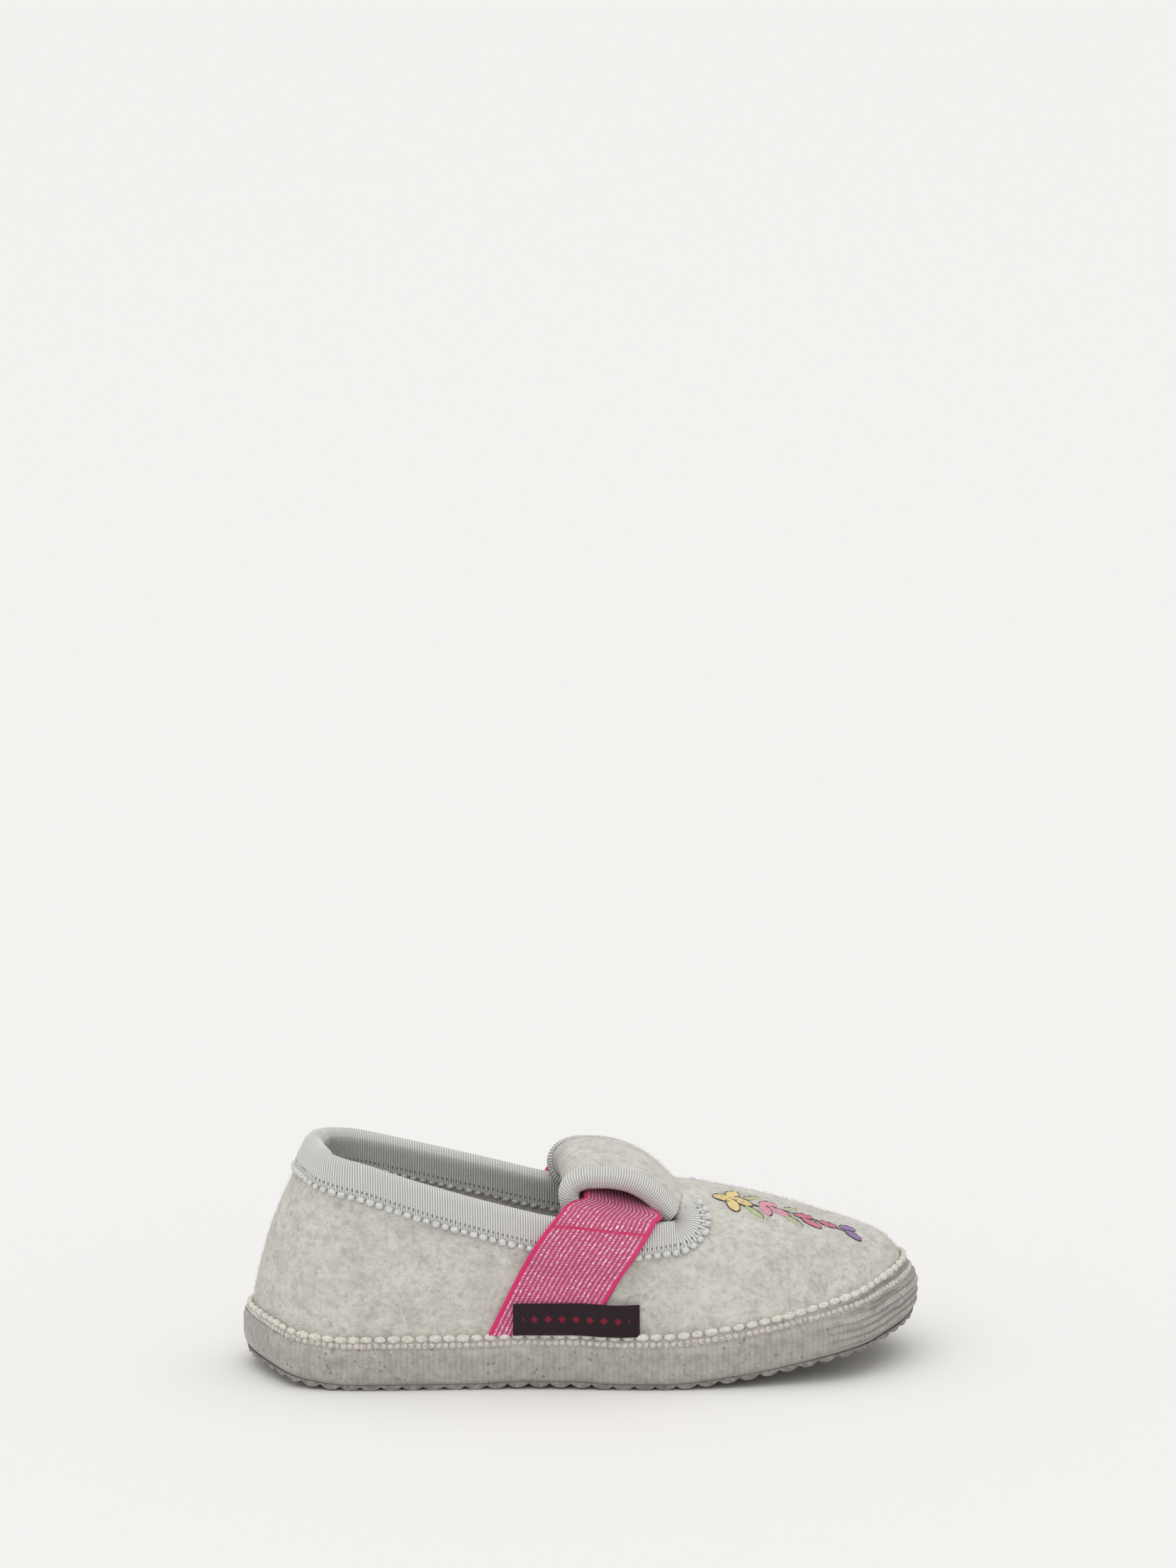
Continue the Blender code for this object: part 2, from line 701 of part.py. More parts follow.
def slab(name, stations, rings, material):
    """Closed slab from rings that run from the middle of one face out round the edge to the other.

    Each ring is an inset and a function of station number and x that gives its height.
    """
    bm = bmesh.new()
    loops = []
    for inset, height in rings:
        plan = Plan(inset)
        points = []
        for side, order in ((-1, range(len(stations))), (1, range(len(stations) - 2, 0, -1))):
            rim, _ = plan.at(stations, side)
            points += [(rim[i, 0], rim[i, 1], height(i, rim[i, 0])) for i in order]
        loops.append(points)
    verts = add_grid(bm, loops, wrap_columns=True)
    last = len(stations) - 1
    around = 2 * last
    for ring in (verts[0], verts[-1]):
        for i in range(last):
            corners = [ring[i], ring[i + 1], ring[(around - i - 1) % around], ring[(around - i) % around]]
            bm.faces.new(list(dict.fromkeys(corners)))
    return make_object(name, bm, material, 30)


def build_outsole(material):
    """Rubber sole: flat top, a rim of small lugs, a groove, and a tread whose standing bars meet the floor."""
    count = int(round(LENGTH / LUG_PITCH * LUGS_PER_LENGTH)) * 2
    stations = np.linspace(0, 1, count + 1)
    first = [int(station_of(share * LENGTH) * count) for share in STANDS]
    standing = set(first + [i + 1 for i in first])
    edge = FOXING + SOLE_GAP

    def at(height):
        return lambda i, x: float(underside(x)) + height

    def lug(i, x):
        return float(underside(x)) + (LUG_HEIGHT if i % 2 else TREAD_LIFT)

    def bar(i, x):
        if i in standing:
            return float(underside(x))
        return float(underside(x)) + (LUG_HEIGHT if i % 5 == 4 else TREAD_LIFT)

    inner = edge + RIM_LUG_WIDTH
    rings = (
        (edge, at(OUTSOLE)),
        (edge, at(LUG_HEIGHT + GAP)),
        (edge + GAP, lug),
        (inner, lug),
        (inner + GAP, at(LUG_HEIGHT)),
        (inner + GROOVE, at(LUG_HEIGHT)),
        (inner + GROOVE + GAP, bar),
    )
    return slab("outsole", stations, rings, material)


def build_insole(material):
    """Felt sock that lies on the sole inside the upper."""
    stations = np.linspace(0, 1, 37)
    low = OUTSOLE + GAP
    high = low + INSOLE_FELT
    edge = FOXING + GAP + FELT + SEAM_GAP
    round_edge = INSOLE_FELT * 0.25
    rings = (
        (edge, lambda i, x: float(underside(x)) + low),
        (edge, lambda i, x: float(underside(x)) + high - round_edge),
        (edge + round_edge, lambda i, x: float(underside(x)) + high),
    )
    return slab("insole", stations, rings, material)


def strap_paths(along, side):
    """Dense middle lines of the strap across the slipper at each along, from the seam to the crown."""
    station = station_of(along)
    seam = arc_at_height(station, side, foxing_top(station) + GAP)
    top = topline_arc(station, side)
    low = GAP + STRAP_THICKNESS / 2
    high = SEAM_GAP + TAPE + STRAP_GAP + STRAP_THICKNESS / 2
    points = []
    for share in np.linspace(0, 1, 16):
        arc = seam + (top - seam) * share
        lift = np.clip((arc - (top - 1.9 * TAPE_REACH)) / (0.8 * TAPE_REACH), 0, 1)
        lift = lift * lift * (3 - 2 * lift)
        normal = facing(lambda a, b: felt(a, b, side), along, arc, side)
        points.append(felt(along, arc, side) + (low + (high - low) * lift)[:, None] * normal)
    climb = points[-1] - points[-2]
    climb[:, 0] = 0
    climb /= np.linalg.norm(climb, axis=1)[:, None]
    peak = STRAP_CROWN - STRAP_TILT * (along - STRAP_RUN[-1][1] * LENGTH)
    crown_point = np.column_stack((along, np.zeros_like(along), peak))
    start = points[-1]
    outward = np.column_stack((np.zeros_like(along), np.full_like(along, side), np.zeros_like(along)))
    forward = np.clip(along / STRAP_WIDTH, 0, 1)[:, None]
    first = start + climb * (STRAP_SHOULDER[0] + (STRAP_SHOULDER[1] - STRAP_SHOULDER[0]) * forward)
    second = crown_point + outward * (STRAP_FLAT[0] + (STRAP_FLAT[1] - STRAP_FLAT[0]) * forward)
    for t in np.linspace(0, 1, 25)[1:]:
        points.append(start * (1 - t) ** 3 + 3 * first * t * (1 - t) ** 2
                      + 3 * second * t * t * (1 - t) + crown_point * t ** 3)
    stack = np.stack(points, axis=1)
    step = np.linalg.norm(np.diff(stack, axis=1), axis=2)
    arc = np.concatenate((np.zeros((len(stack), 1)), np.cumsum(step, axis=1)), axis=1)
    return stack, arc


def strap_middle(along, way, side):
    """Middle surface of the strap; way is the share of the path from the seam to the crown."""
    stack, arc = strap_paths(along, side)
    return pick(stack, arc, arc[:, -1] * way)


def strap_slant(way):
    """How far the strap's middle line moves along for each length that it climbs."""
    run = (smooth(way + 0.01, STRAP_RUN) - smooth(way - 0.01, STRAP_RUN)) * LENGTH
    _, arc = strap_paths(smooth(way, STRAP_RUN) * LENGTH, -1)
    return run / (0.02 * arc[:, -1])


def build_strap(material):
    """Wide elastic from seam to seam through the tongue loop."""
    ways = np.linspace(0, 1, 20)
    slant = strap_slant(ways)
    faces = {}
    for side in (-1, 1):
        columns = []
        for share in (-0.5, -0.17, 0.17, 0.5):
            width = STRAP_WIDTH * smooth(ways, STRAP_RUN, 2) * np.sqrt(1 + slant ** 2)
            along = smooth(ways, STRAP_RUN) * LENGTH + share * width

            def middle(a, w, side=side):
                return strap_middle(a, np.clip(w, 0, 1), side)

            normal = facing(middle, along, ways, side)
            if side == 1:
                normal[-1] = faces[(-1, share)][1][-1]
            centre = middle(along, ways)
            faces[(side, share)] = (centre, normal)
            columns.append((centre, normal))
        faces[side] = columns
    rows = []
    for side, order in ((-1, range(len(ways))), (1, range(len(ways) - 2, -1, -1))):
        for i in order:
            top = [c[i] + n[i] * STRAP_THICKNESS / 2 for c, n in faces[side]]
            under = [c[i] - n[i] * STRAP_THICKNESS / 2 for c, n in faces[side]]
            rows.append(top + under[::-1])
    bm = bmesh.new()
    verts = add_grid(bm, rows, wrap_columns=True)
    for row in (verts[0], verts[-1]):
        for j in range(3):
            bm.faces.new((row[j], row[j + 1], row[6 - j], row[7 - j]))
    return make_object("strap", bm, material)


def build_label(material):
    """Woven flag that stands in the sole seam over the strap's foot, on the lateral side."""
    side = -1
    along = np.linspace(-0.5, 0.5, 10) * LABEL_LENGTH + LABEL_ALONG
    station = station_of(along)
    seam = arc_at_height(station, side, foxing_top(station) + GAP)
    over = GAP + STRAP_THICKNESS + GAP + LABEL_THICKNESS / 2
    beside = GAP + LABEL_THICKNESS
    strap_front = STRAP_RUN[1][1] * LENGTH + STRAP_WIDTH / 2
    fall = np.clip((along - strap_front) / LABEL_FALL, 0, 1)
    stand = over + (beside - over) * fall * fall * (3 - 2 * fall)
    rows = []
    for share in np.linspace(0, 1, 4):
        arc = seam + LABEL_HEIGHT * share
        normal = facing(lambda a, b: felt(a, b, side), along, arc, side)
        face = felt(along, arc, side)
        rows.append((face + (stand + LABEL_THICKNESS / 2)[:, None] * normal,
                     face + (stand - LABEL_THICKNESS / 2)[:, None] * normal))
    sections = []
    for j in range(len(along)):
        sections.append([row[0][j] for row in rows] + [row[1][j] for row in rows[::-1]])
    bm = bmesh.new()
    verts = add_grid(bm, sections, wrap_columns=True)
    for row in (verts[0], verts[-1]):
        for j in range(3):
            bm.faces.new((row[j], row[j + 1], row[6 - j], row[7 - j]))
    return make_object("label", bm, material)


def build_all():
    """The whole slipper, from the sole up."""
    felt_grey = make_material("felt_grey", (0.62, 0.61, 0.56), 0.95)
    tape_grey = make_material("tape_grey", (0.66, 0.66, 0.63), 0.85)
    foxing_grey = make_material("foxing_grey", (0.37, 0.35, 0.33), 0.70)
    sole_grey = make_material("sole_grey", (0.33, 0.32, 0.30), 0.75)
    strap_pink = make_material("strap_pink", (0.55, 0.07, 0.20), 0.45)
    label_black = make_material("label_black", (0.035, 0.022, 0.028), 0.80)
    build_outsole(sole_grey)
    build_insole(felt_grey)
    build_upper(felt_grey)
    build_foxing(foxing_grey)
    build_collar_binding(tape_grey)
    build_loop_binding("loop_binding_lateral", -1, tape_grey)
    build_loop_binding("loop_binding_medial", 1, tape_grey)
    build_strap(strap_pink)
    build_label(label_black)


for old in list(bpy.data.objects):
    bpy.data.objects.remove(old, do_unlink=True)
build_all()
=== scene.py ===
"""A child's felt hut slipper: the looks of its felt, tape, elastic, edging and rubber over the CAD frame.

The toe points along +X, the lateral side is -Y, and the sole stands on z = 0. Lengths are in metres.
The surfaces repeat the CAD source's named sizes and tables, and add relief, stitches and nap to them.
"""
import math
from functools import partial

import bmesh
import bpy
import numpy as np
from mathutils import Matrix, Vector


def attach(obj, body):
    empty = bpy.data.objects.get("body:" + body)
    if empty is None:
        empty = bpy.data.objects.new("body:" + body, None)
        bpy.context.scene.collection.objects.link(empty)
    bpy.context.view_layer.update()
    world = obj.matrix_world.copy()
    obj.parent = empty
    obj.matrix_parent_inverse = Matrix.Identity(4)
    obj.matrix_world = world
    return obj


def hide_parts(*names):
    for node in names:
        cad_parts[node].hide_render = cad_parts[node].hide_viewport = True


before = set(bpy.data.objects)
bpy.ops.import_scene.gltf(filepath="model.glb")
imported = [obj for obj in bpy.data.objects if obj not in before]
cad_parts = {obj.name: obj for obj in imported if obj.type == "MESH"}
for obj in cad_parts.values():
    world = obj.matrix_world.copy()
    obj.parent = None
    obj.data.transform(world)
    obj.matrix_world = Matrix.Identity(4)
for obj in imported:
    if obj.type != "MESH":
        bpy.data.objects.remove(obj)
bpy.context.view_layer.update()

# Driving sizes of the whole slipper
LENGTH = 0.170
WIDTH = 0.070
THROAT_HEIGHT = 0.0449
COLLAR_HEIGHT = 0.0566
THROAT_ALONG = 0.0222
THROAT_BOW = 0.0026

# Felt, tape, elastic and label
FELT = 0.0026
INSOLE_FELT = 0.0025
TAPE = 0.0008
TAPE_REACH = 0.0072
LOOP_TAPE_REACH = 0.0035
NOTCH_GAP = 0.0030
NOTCH_TAPE_END = {-1: 36.0, 1: 18.0}
HEEL_JOIN = 0.004
STRAP_WIDTH = 0.0218
STRAP_THICKNESS = 0.0011
LABEL_LENGTH = 0.0310
LABEL_HEIGHT = 0.0078
LABEL_THICKNESS = 0.0005
LABEL_ALONG = -0.0040
LABEL_FALL = 0.0060
LOOP_LENGTH = 0.0283
LOOP_RISE = 0.0102

# Sole and foxing
OUTSOLE = 0.0037
LUG_HEIGHT = 0.0011
LUG_PITCH = 0.0052
RIM_LUG_WIDTH = 0.0045
GROOVE = 0.0016
FOXING = 0.0020
FOXING_HEIGHT = 0.0104
STITCH_BAND = 0.0028
STITCH_THICKNESS = 0.0012
TOE_SPRING = 0.0104
HEEL_ROUND = 0.0039
ARCH_RISE = 0.0006

# Clearances between pieces
GAP = 0.0003
SEAM_GAP = 0.0004
SOLE_GAP = 0.0005
STRAP_GAP = 0.0006

# Fine work: pitches and sizes of ribs, beads and stitches
RIB_PITCH = 0.00064
RIB_DEPTH = 0.00011
COLLAR_BEAD_PITCH = 0.0024
EDGING_BEAD_PITCH = 0.0034
BACKING_BEAD_PITCH = 0.0017
STRAP_RIB_PITCH = 0.00105
STRAP_EDGE_CORD = 0.00085
STRAP_STITCH_AT = 0.0262
STRAP_RIB_DEPTH = 0.00007
STRAP_CORD_SWELL = 0.00016
LABEL_RIPPLE = 0.00008
TREAD_PITCH = 0.0066
STITCH_WIDTH = 0.00042
STITCH_LIFT = 0.00030
STITCH_PITCH = 0.00030
OUTLINE_MARGIN = 0.0002

# Loose fibres of the felt
NAP_COUNT = 26000
LOOP_NAP_COUNT = 1600
NAP_LENGTH = (0.0006, 0.0018)
NAP_HALF_WIDTH = 0.000024

# Turning points of the plan: where the heel's and the toe's sections fan out, as shares of the length
HEEL_CENTRE = -0.33
TOE_CENTRE = 0.235
HEEL_SHARE = 0.22
MID_SHARE = 0.48

# Outline of the sole in plan: along as a share of LENGTH, across as a share of half the WIDTH
OUTLINE = (
    # name                 along    across
    ("heel back",          -0.500,   0.02),
    ("heel outer corner",  -0.462,  -0.50),
    ("heel outer",         -0.360,  -0.80),
    ("waist outer",        -0.120,  -0.86),
    ("ball outer",          0.130,  -0.99),
    ("little toe",          0.310,  -0.93),
    ("toe outer corner",    0.430,  -0.64),
    ("toe tip",             0.500,   0.06),
    ("big toe corner",      0.458,   0.58),
    ("big toe",             0.360,   0.88),
    ("ball inner",          0.220,   1.00),
    ("waist inner",        -0.060,   0.77),
    ("heel inner",         -0.340,   0.77),
    ("heel inner corner",  -0.458,   0.52),
)

# Underside: along as a share of LENGTH, toe spring, heel rounding and arch as shares of their sizes
UNDERSIDE = (
    # along  spring  heel  arch
    (-0.500, 0.000, 1.00, 0.0),
    (-0.455, 0.000, 0.62, 0.0),
    (-0.410, 0.000, 0.24, 0.0),
    (-0.350, 0.000, 0.00, 0.0),
    (-0.180, 0.000, 0.00, 0.0),
    (-0.090, 0.000, 0.00, 1.0),
    (-0.030, 0.000, 0.00, 1.0),
    (0.040,  0.000, 0.00, 0.0),
    (0.100,  0.000, 0.00, 0.0),
    (0.200,  0.150, 0.00, 0.0),
    (0.270,  0.320, 0.00, 0.0),
    (0.340,  0.520, 0.00, 0.0),
    (0.410,  0.710, 0.00, 0.0),
    (0.500,  1.000, 0.00, 0.0),
)

# Crown that the felt's sections rise to, as shares of LENGTH and THROAT_HEIGHT; open behind the throat
CROWN = (
    # along  height
    (-0.500, 1.59),
    (-0.330, 1.68),
    (-0.180, 1.60),
    (-0.030, 1.38),
    (0.070,  1.13),
    (0.131,  1.000),
    (0.180,  0.975),
    (0.240,  0.928),
    (0.305,  0.850),
    (0.370,  0.780),
    (0.430,  0.745),
    (0.500,  0.745),
)

# How full each section is, by station: 1 is a straight slope, higher is squarer
BULGE = (
    # station  fullness; the rows beyond the ends mirror their neighbours, so that the halves meet level
    (-0.09, 1.15),
    (0.00, 0.94),
    (0.09, 1.15),
    (0.22, 2.30),
    (0.40, 2.90),
    (0.58, 2.80),
    (0.70, 2.30),
    (0.80, 2.60),
    (0.90, 4.20),
    (1.00, 7.00),
    (1.10, 4.20),
)

# Top edge of the quarters, as shares of LENGTH and COLLAR_HEIGHT; the medial side stands a little higher
TOPLINE = (
    # along  lateral  medial
    (-0.400, 1.000,  1.000),
    (-0.335, 0.960,  0.968),
    (-0.260, 0.888,  0.912),
    (-0.190, 0.825,  0.858),
    (-0.125, 0.772,  0.808),
    (-0.055, 0.724,  0.752),
    (0.020,  0.695,  0.707),
    (0.131,  0.680,  0.680),
)

# Outer face of the tongue loop on its middle line, as shares of LOOP_LENGTH back and LOOP_RISE up
LOOP_PATH = (
    # back   rise
    (0.000,  0.00),
    (0.050,  0.11),
    (0.110,  0.30),
    (0.190,  0.52),
    (0.290,  0.72),
    (0.400,  0.87),
    (0.520,  0.96),
    (0.650,  1.00),
    (0.770,  1.00),
    (0.875,  0.94),
    (0.962,  0.78),
    (1.000,  0.53),
    (0.983,  0.26),
    (0.922,  0.07),
    (0.815,  -0.06),
    (0.660,  -0.16),
    (0.430,  -0.34),
    (0.200,  -0.58),
)

# Half width and side droop of the tongue loop, as shares of the throat's own, by share of the path
LOOP_SPREAD = (
    # way    width  droop
    (0.000,  1.00,  1.00),
    (0.250,  1.04,  0.86),
    (0.520,  1.05,  0.82),
    (0.620,  0.98,  0.88),
    (0.750,  0.87,  0.98),
    (1.000,  0.76,  1.00),
)

# Middle of the strap, by its share of the way from the sole seam to its crown
STRAP_RUN = (
    # way   along, as a share of LENGTH; width, as a share of STRAP_WIDTH
    (0.00, -0.0800, 1.00),
    (0.30, -0.0240, 0.99),
    (0.54,  0.0250, 0.91),
    (0.65,  0.0440, 0.80),
    (1.00,  0.0450, 0.78),
)
STRAP_CROWN = 0.0464
STRAP_TILT = 0.40
STRAP_SHOULDER = (0.0034, 0.0014)
STRAP_FLAT = (0.0110, 0.0060)

# Side of the foxing: height as a share of FOXING_HEIGHT above the underside, inset as a share of FOXING
FOXING_SIDE = (
    # height  inset
    (0.10, 0.95),
    (0.16, 0.50),
    (0.28, 0.22),
    (0.42, 0.06),
    (0.58, 0.00),
    (0.76, 0.02),
    (0.90, 0.12),
    (1.00, 0.34),
)

# Height of the stitched band above the foxing, by station, as a share of STITCH_BAND
STITCH_RUN = (
    # station  height
    (0.00, 0.62),
    (0.30, 0.90),
    (0.62, 1.00),
    (0.85, 1.25),
    (1.00, 1.55),
)

# Soft creases and hollows of the felt: where, how wide and how deep, on the lateral and medial sides
FELT_DENTS = (
    # name                 x       y       z       reach_x reach_z depth
    ("strap's pull, back", -0.020, -0.028, 0.024,  0.006,  0.010,  0.00030),
    ("ball hollow",         0.020, -0.031, 0.026,  0.010,  0.008,  0.00035),
    ("vamp side",           0.045, -0.026, 0.029,  0.016,  0.006,  0.00025),
    ("heel side",          -0.062, -0.022, 0.032,  0.010,  0.014,  0.00030),
    ("quarter hollow",     -0.040,  0.026, 0.028,  0.012,  0.010,  0.00040),
    ("inner ball",          0.026,  0.031, 0.027,  0.012,  0.008,  0.00040),
    ("inner vamp",          0.052,  0.022, 0.031,  0.014,  0.006,  0.00025),
)
DENT_FADE = 0.010

# Lumps of the felt: height, size and seed
FELT_LUMPS = ((0.00012, 0.016, 21), (0.00006, 0.0045, 22))

# Folds of the foxing: their depth, and where along the slipper the toe's deeper ones begin and are full
FOLD_DEPTH = 0.00012
FOLD_START = 0.055
FOLD_SPAN = 0.020

# Points on each dense curve up a section
CURVE_STEPS = 96

# Length that the foxing's map gives to each side, from heel back to toe tip, so that the two meet at the toe
SIDE_RUN = 0.205


# Curves and surfaces of the last

def smooth(at, table, column=1):
    """Smooth curve through a table without overshoot: cubic pieces with limited slopes."""
    xs = np.array([row[0] for row in table], dtype=float)
    ys = np.array([row[column] for row in table], dtype=float)
    step = np.diff(xs)
    slope = np.diff(ys) / step
    inner = np.zeros(len(slope) - 1)
    same = slope[:-1] * slope[1:] > 0
    inner[same] = 2 * slope[:-1][same] * slope[1:][same] / (slope[:-1][same] + slope[1:][same])
    grade = np.concatenate(([slope[0]], inner, [slope[-1]]))
    at = np.clip(np.asarray(at, dtype=float), xs[0], xs[-1])
    left = np.clip(np.searchsorted(xs, at, side="right") - 1, 0, len(step) - 1)
    t = (at - xs[left]) / step[left]
    start = ys[left] * (1 + 2 * t) * (1 - t) ** 2 + ys[left + 1] * t * t * (3 - 2 * t)
    turn = step[left] * (grade[left] * t * (1 - t) ** 2 - grade[left + 1] * t * t * (1 - t))
    return start + turn


def eased(share):
    """Soft step from 0 to 1: the clipped share squared times three less twice the share."""
    share = np.clip(share, 0, 1)
    return share * share * (3 - 2 * share)


def spread(ends, steps):
    """Numbers spaced evenly from each end to the next, with a count of steps for each leg."""
    legs = [np.linspace(low, high, count, endpoint=False) for low, high, count in zip(ends, ends[1:], steps)]
    return np.concatenate(legs + [[ends[-1]]])


def unit(vectors):
    """Vectors scaled to length one."""
    return vectors / np.linalg.norm(vectors, axis=-1, keepdims=True)


def square_to(normals, vectors):
    """Unit vectors along the parts of vectors that stand square to the normals."""
    return unit(vectors - (vectors * normals).sum(axis=1, keepdims=True) * normals)


def arc_lengths(curves):
    """Length along each curve of a stack, from its first point to each."""
    step = np.linalg.norm(np.diff(curves, axis=1), axis=2)
    return np.pad(np.cumsum(step, axis=1), ((0, 0), (1, 0)))


def running_length(points):
    """Length along a line of points, from its first point to each."""
    return arc_lengths(points[None])[0]


def closed_spline(points, count):
    """Points on the closed cubic curve through the given points, spaced evenly in chord length."""
    points = np.asarray(points, dtype=float)
    total = len(points)
    chord = np.linalg.norm(np.roll(points, -1, axis=0) - points, axis=1)
    knots = np.concatenate(([0.0], np.cumsum(chord)))
    system = np.zeros((total, total))
    right = np.zeros_like(points)
    for i in range(total):
        before = chord[i - 1]
        after = chord[i]
        system[i, i - 1] += after
        system[i, i] += 2 * (before + after)
        system[i, (i + 1) % total] += before
        rise_after = (points[(i + 1) % total] - points[i]) / after
        rise_before = (points[i] - points[i - 1]) / before
        right[i] = 3 * (before * rise_after + after * rise_before)
    slope = np.linalg.solve(system, right)
    at = np.linspace(0, knots[-1], count, endpoint=False)
    left = np.clip(np.searchsorted(knots, at, side="right") - 1, 0, total - 1)
    follow = (left + 1) % total
    t = ((at - knots[left]) / chord[left])[:, None]
    span = chord[left][:, None]
    value = points[left] * (1 + 2 * t) * (1 - t) ** 2 + points[follow] * t * t * (3 - 2 * t)
    return value + span * (slope[left] * t * (1 - t) ** 2 - slope[follow] * t * t * (1 - t))


def sole_outline():
    """The sole's outline, stretched so that it is exactly LENGTH by WIDTH about its middle."""
    raw = closed_spline([(row[1], row[2]) for row in OUTLINE], 1440)
    low = raw.min(axis=0)
    high = raw.max(axis=0)
    return (raw - (low + high) / 2) / (high - low) * (LENGTH, WIDTH)


SOLE = sole_outline()


class Plan:
    """One outline in plan, read by station (0 heel back, 1 toe tip) and side (-1 lateral, 1 medial)."""

    def __init__(self, inset):
        along = unit(np.roll(SOLE, -1, axis=0) - np.roll(SOLE, 1, axis=0))
        self.ring = SOLE + inset * np.stack((-along[:, 1], along[:, 0]), axis=1)
        self.heel_x = HEEL_CENTRE * LENGTH
        self.toe_x = TOE_CENTRE * LENGTH

    def fan(self, centre, angle):
        """Where rays from a centre, at these angles from +X, meet the outline."""
        arm = self.ring - centre
        bearing = np.arctan2(arm[:, 1], arm[:, 0])
        order = np.argsort(bearing)
        reach = np.linalg.norm(arm, axis=1)[order]
        wrapped = (angle + math.pi) % (2 * math.pi) - math.pi
        reach = np.interp(wrapped, bearing[order], reach, period=2 * math.pi)
        return centre + reach[:, None] * np.stack((np.cos(angle), np.sin(angle)), axis=1)

    def side_y(self, x, side):
        """Across position of one side of the outline at these x."""
        half = self.ring[self.ring[:, 1] * side > 0]
        half = half[np.argsort(half[:, 0])]
        return np.interp(x, half[:, 0], half[:, 1])

    def at(self, station, side):
        """Rim point and spine point of each station."""
        station = np.clip(np.asarray(station, dtype=float), 0, 1)
        x = self.heel_x + (station - HEEL_SHARE) / MID_SHARE * (self.toe_x - self.heel_x)
        rim = np.stack((x, self.side_y(x, side)), axis=1)
        spine = np.stack((np.clip(x, self.heel_x, self.toe_x), np.zeros_like(x)), axis=1)
        heel = station < HEEL_SHARE
        turn = math.pi - side * (math.pi / 2) * station / HEEL_SHARE
        rim[heel] = self.fan(np.array((self.heel_x, 0.0)), turn[heel])
        toe = station > HEEL_SHARE + MID_SHARE
        past = (station - HEEL_SHARE - MID_SHARE) / (1 - HEEL_SHARE - MID_SHARE)
        turn = side * (math.pi / 2) * (1 - past)
        rim[toe] = self.fan(np.array((self.toe_x, 0.0)), turn[toe])
        return rim, spine


def station_of(x):
    """Station of a section that stands across the slipper at x."""
    return HEEL_SHARE + (x - HEEL_CENTRE * LENGTH) / ((TOE_CENTRE - HEEL_CENTRE) * LENGTH) * MID_SHARE


def along_of(station):
    """Distance along the slipper that a station stands for, also round the heel and toe."""
    return HEEL_CENTRE * LENGTH + (station - HEEL_SHARE) / MID_SHARE * (TOE_CENTRE - HEEL_CENTRE) * LENGTH


def underside(x):
    """Height of the sole's underside above the floor."""
    share = np.asarray(x) / LENGTH
    spring = smooth(share, UNDERSIDE, 1) * TOE_SPRING
    heel = smooth(share, UNDERSIDE, 2) * HEEL_ROUND
    return spring + heel + smooth(share, UNDERSIDE, 3) * ARCH_RISE


def crown(x):
    """Height that the sections rise to on the middle line."""
    return smooth(np.asarray(x) / LENGTH, CROWN) * THROAT_HEIGHT


FELT_PLAN = Plan(FOXING + GAP)
FOXING_PLAN = Plan(0.0)


def section_curves(station, side):
    """Dense points up each section of the felt's outer face, and the arc lengths to them.

    A section goes from the rim (up = 0) to the spine (up = 1): its plan shrinks as 1 - up squared, and
    it rises from the foot to the crown as the root of 1 - reach to the power of the fullness.
    """
    rim, spine = FELT_PLAN.at(station, side)
    up = np.linspace(0, 1, CURVE_STEPS)
    reach = 1 - up ** 2
    fullness = smooth(station, BULGE)[:, None]
    rise = np.sqrt(1 - reach[None, :] ** fullness)
    plan = spine[:, None, :] + reach[None, :, None] * (rim - spine)[:, None, :]
    foot = (underside(rim[:, 0]) + OUTSOLE + GAP)[:, None]
    height = foot + (crown(plan[..., 0]) - foot) * rise
    points = np.concatenate((plan, height[..., None]), axis=2)
    return points, arc_lengths(points)


def pick(points, arc, wanted):
    """Point at one wanted arc length on each curve of a stack."""
    wanted = np.clip(wanted, 0, arc[:, -1])
    left = np.clip((arc <= wanted[:, None]).sum(axis=1) - 1, 0, arc.shape[1] - 2)
    row = np.arange(len(arc))
    share = (wanted - arc[row, left]) / (arc[row, left + 1] - arc[row, left])
    return points[row, left] + share[:, None] * (points[row, left + 1] - points[row, left])


def felt(along, arc, side):
    """Outer face of the felt at a distance along and an arc length up from its foot."""
    points, arcs = section_curves(np.clip(station_of(along), 0, 1), side)
    return pick(points, arcs, arc)


def facing(surface, along, arc, side):
    """Outward unit normal of a surface given as a function of along and arc."""
    nudge = 4e-5
    run = surface(along + nudge, arc) - surface(along - nudge, arc)
    climb = surface(along, arc + nudge) - surface(along, arc - nudge)
    return unit(np.cross(run, climb) * -side)


def felt_face(along, arc, side):
    """Points of the felt's outer face, with its outward unit normals."""
    surface = partial(felt, side=side)
    return surface(along, arc), facing(surface, along, arc, side)


def arc_at_height(station, side, height):
    """Arc length up each section to where it reaches a height."""
    points, arc = section_curves(station, side)
    reached = (points[..., 2] < height[:, None]).sum(axis=1)
    left = np.clip(reached - 1, 0, arc.shape[1] - 2)
    row = np.arange(len(arc))
    low = points[row, left, 2]
    share = np.clip((height - low) / (points[row, left + 1, 2] - low), 0, 1)
    return arc[row, left] + share * (arc[row, left + 1] - arc[row, left])


def topline_arc(station, side):
    """Arc length up each section to the top edge of the quarters."""
    points, _ = section_curves(station, side)
    x = points[:, int(CURVE_STEPS * 0.6), 0]
    height = smooth(x / LENGTH, TOPLINE, 1 if side < 0 else 2) * COLLAR_HEIGHT
    return arc_at_height(station, side, height)


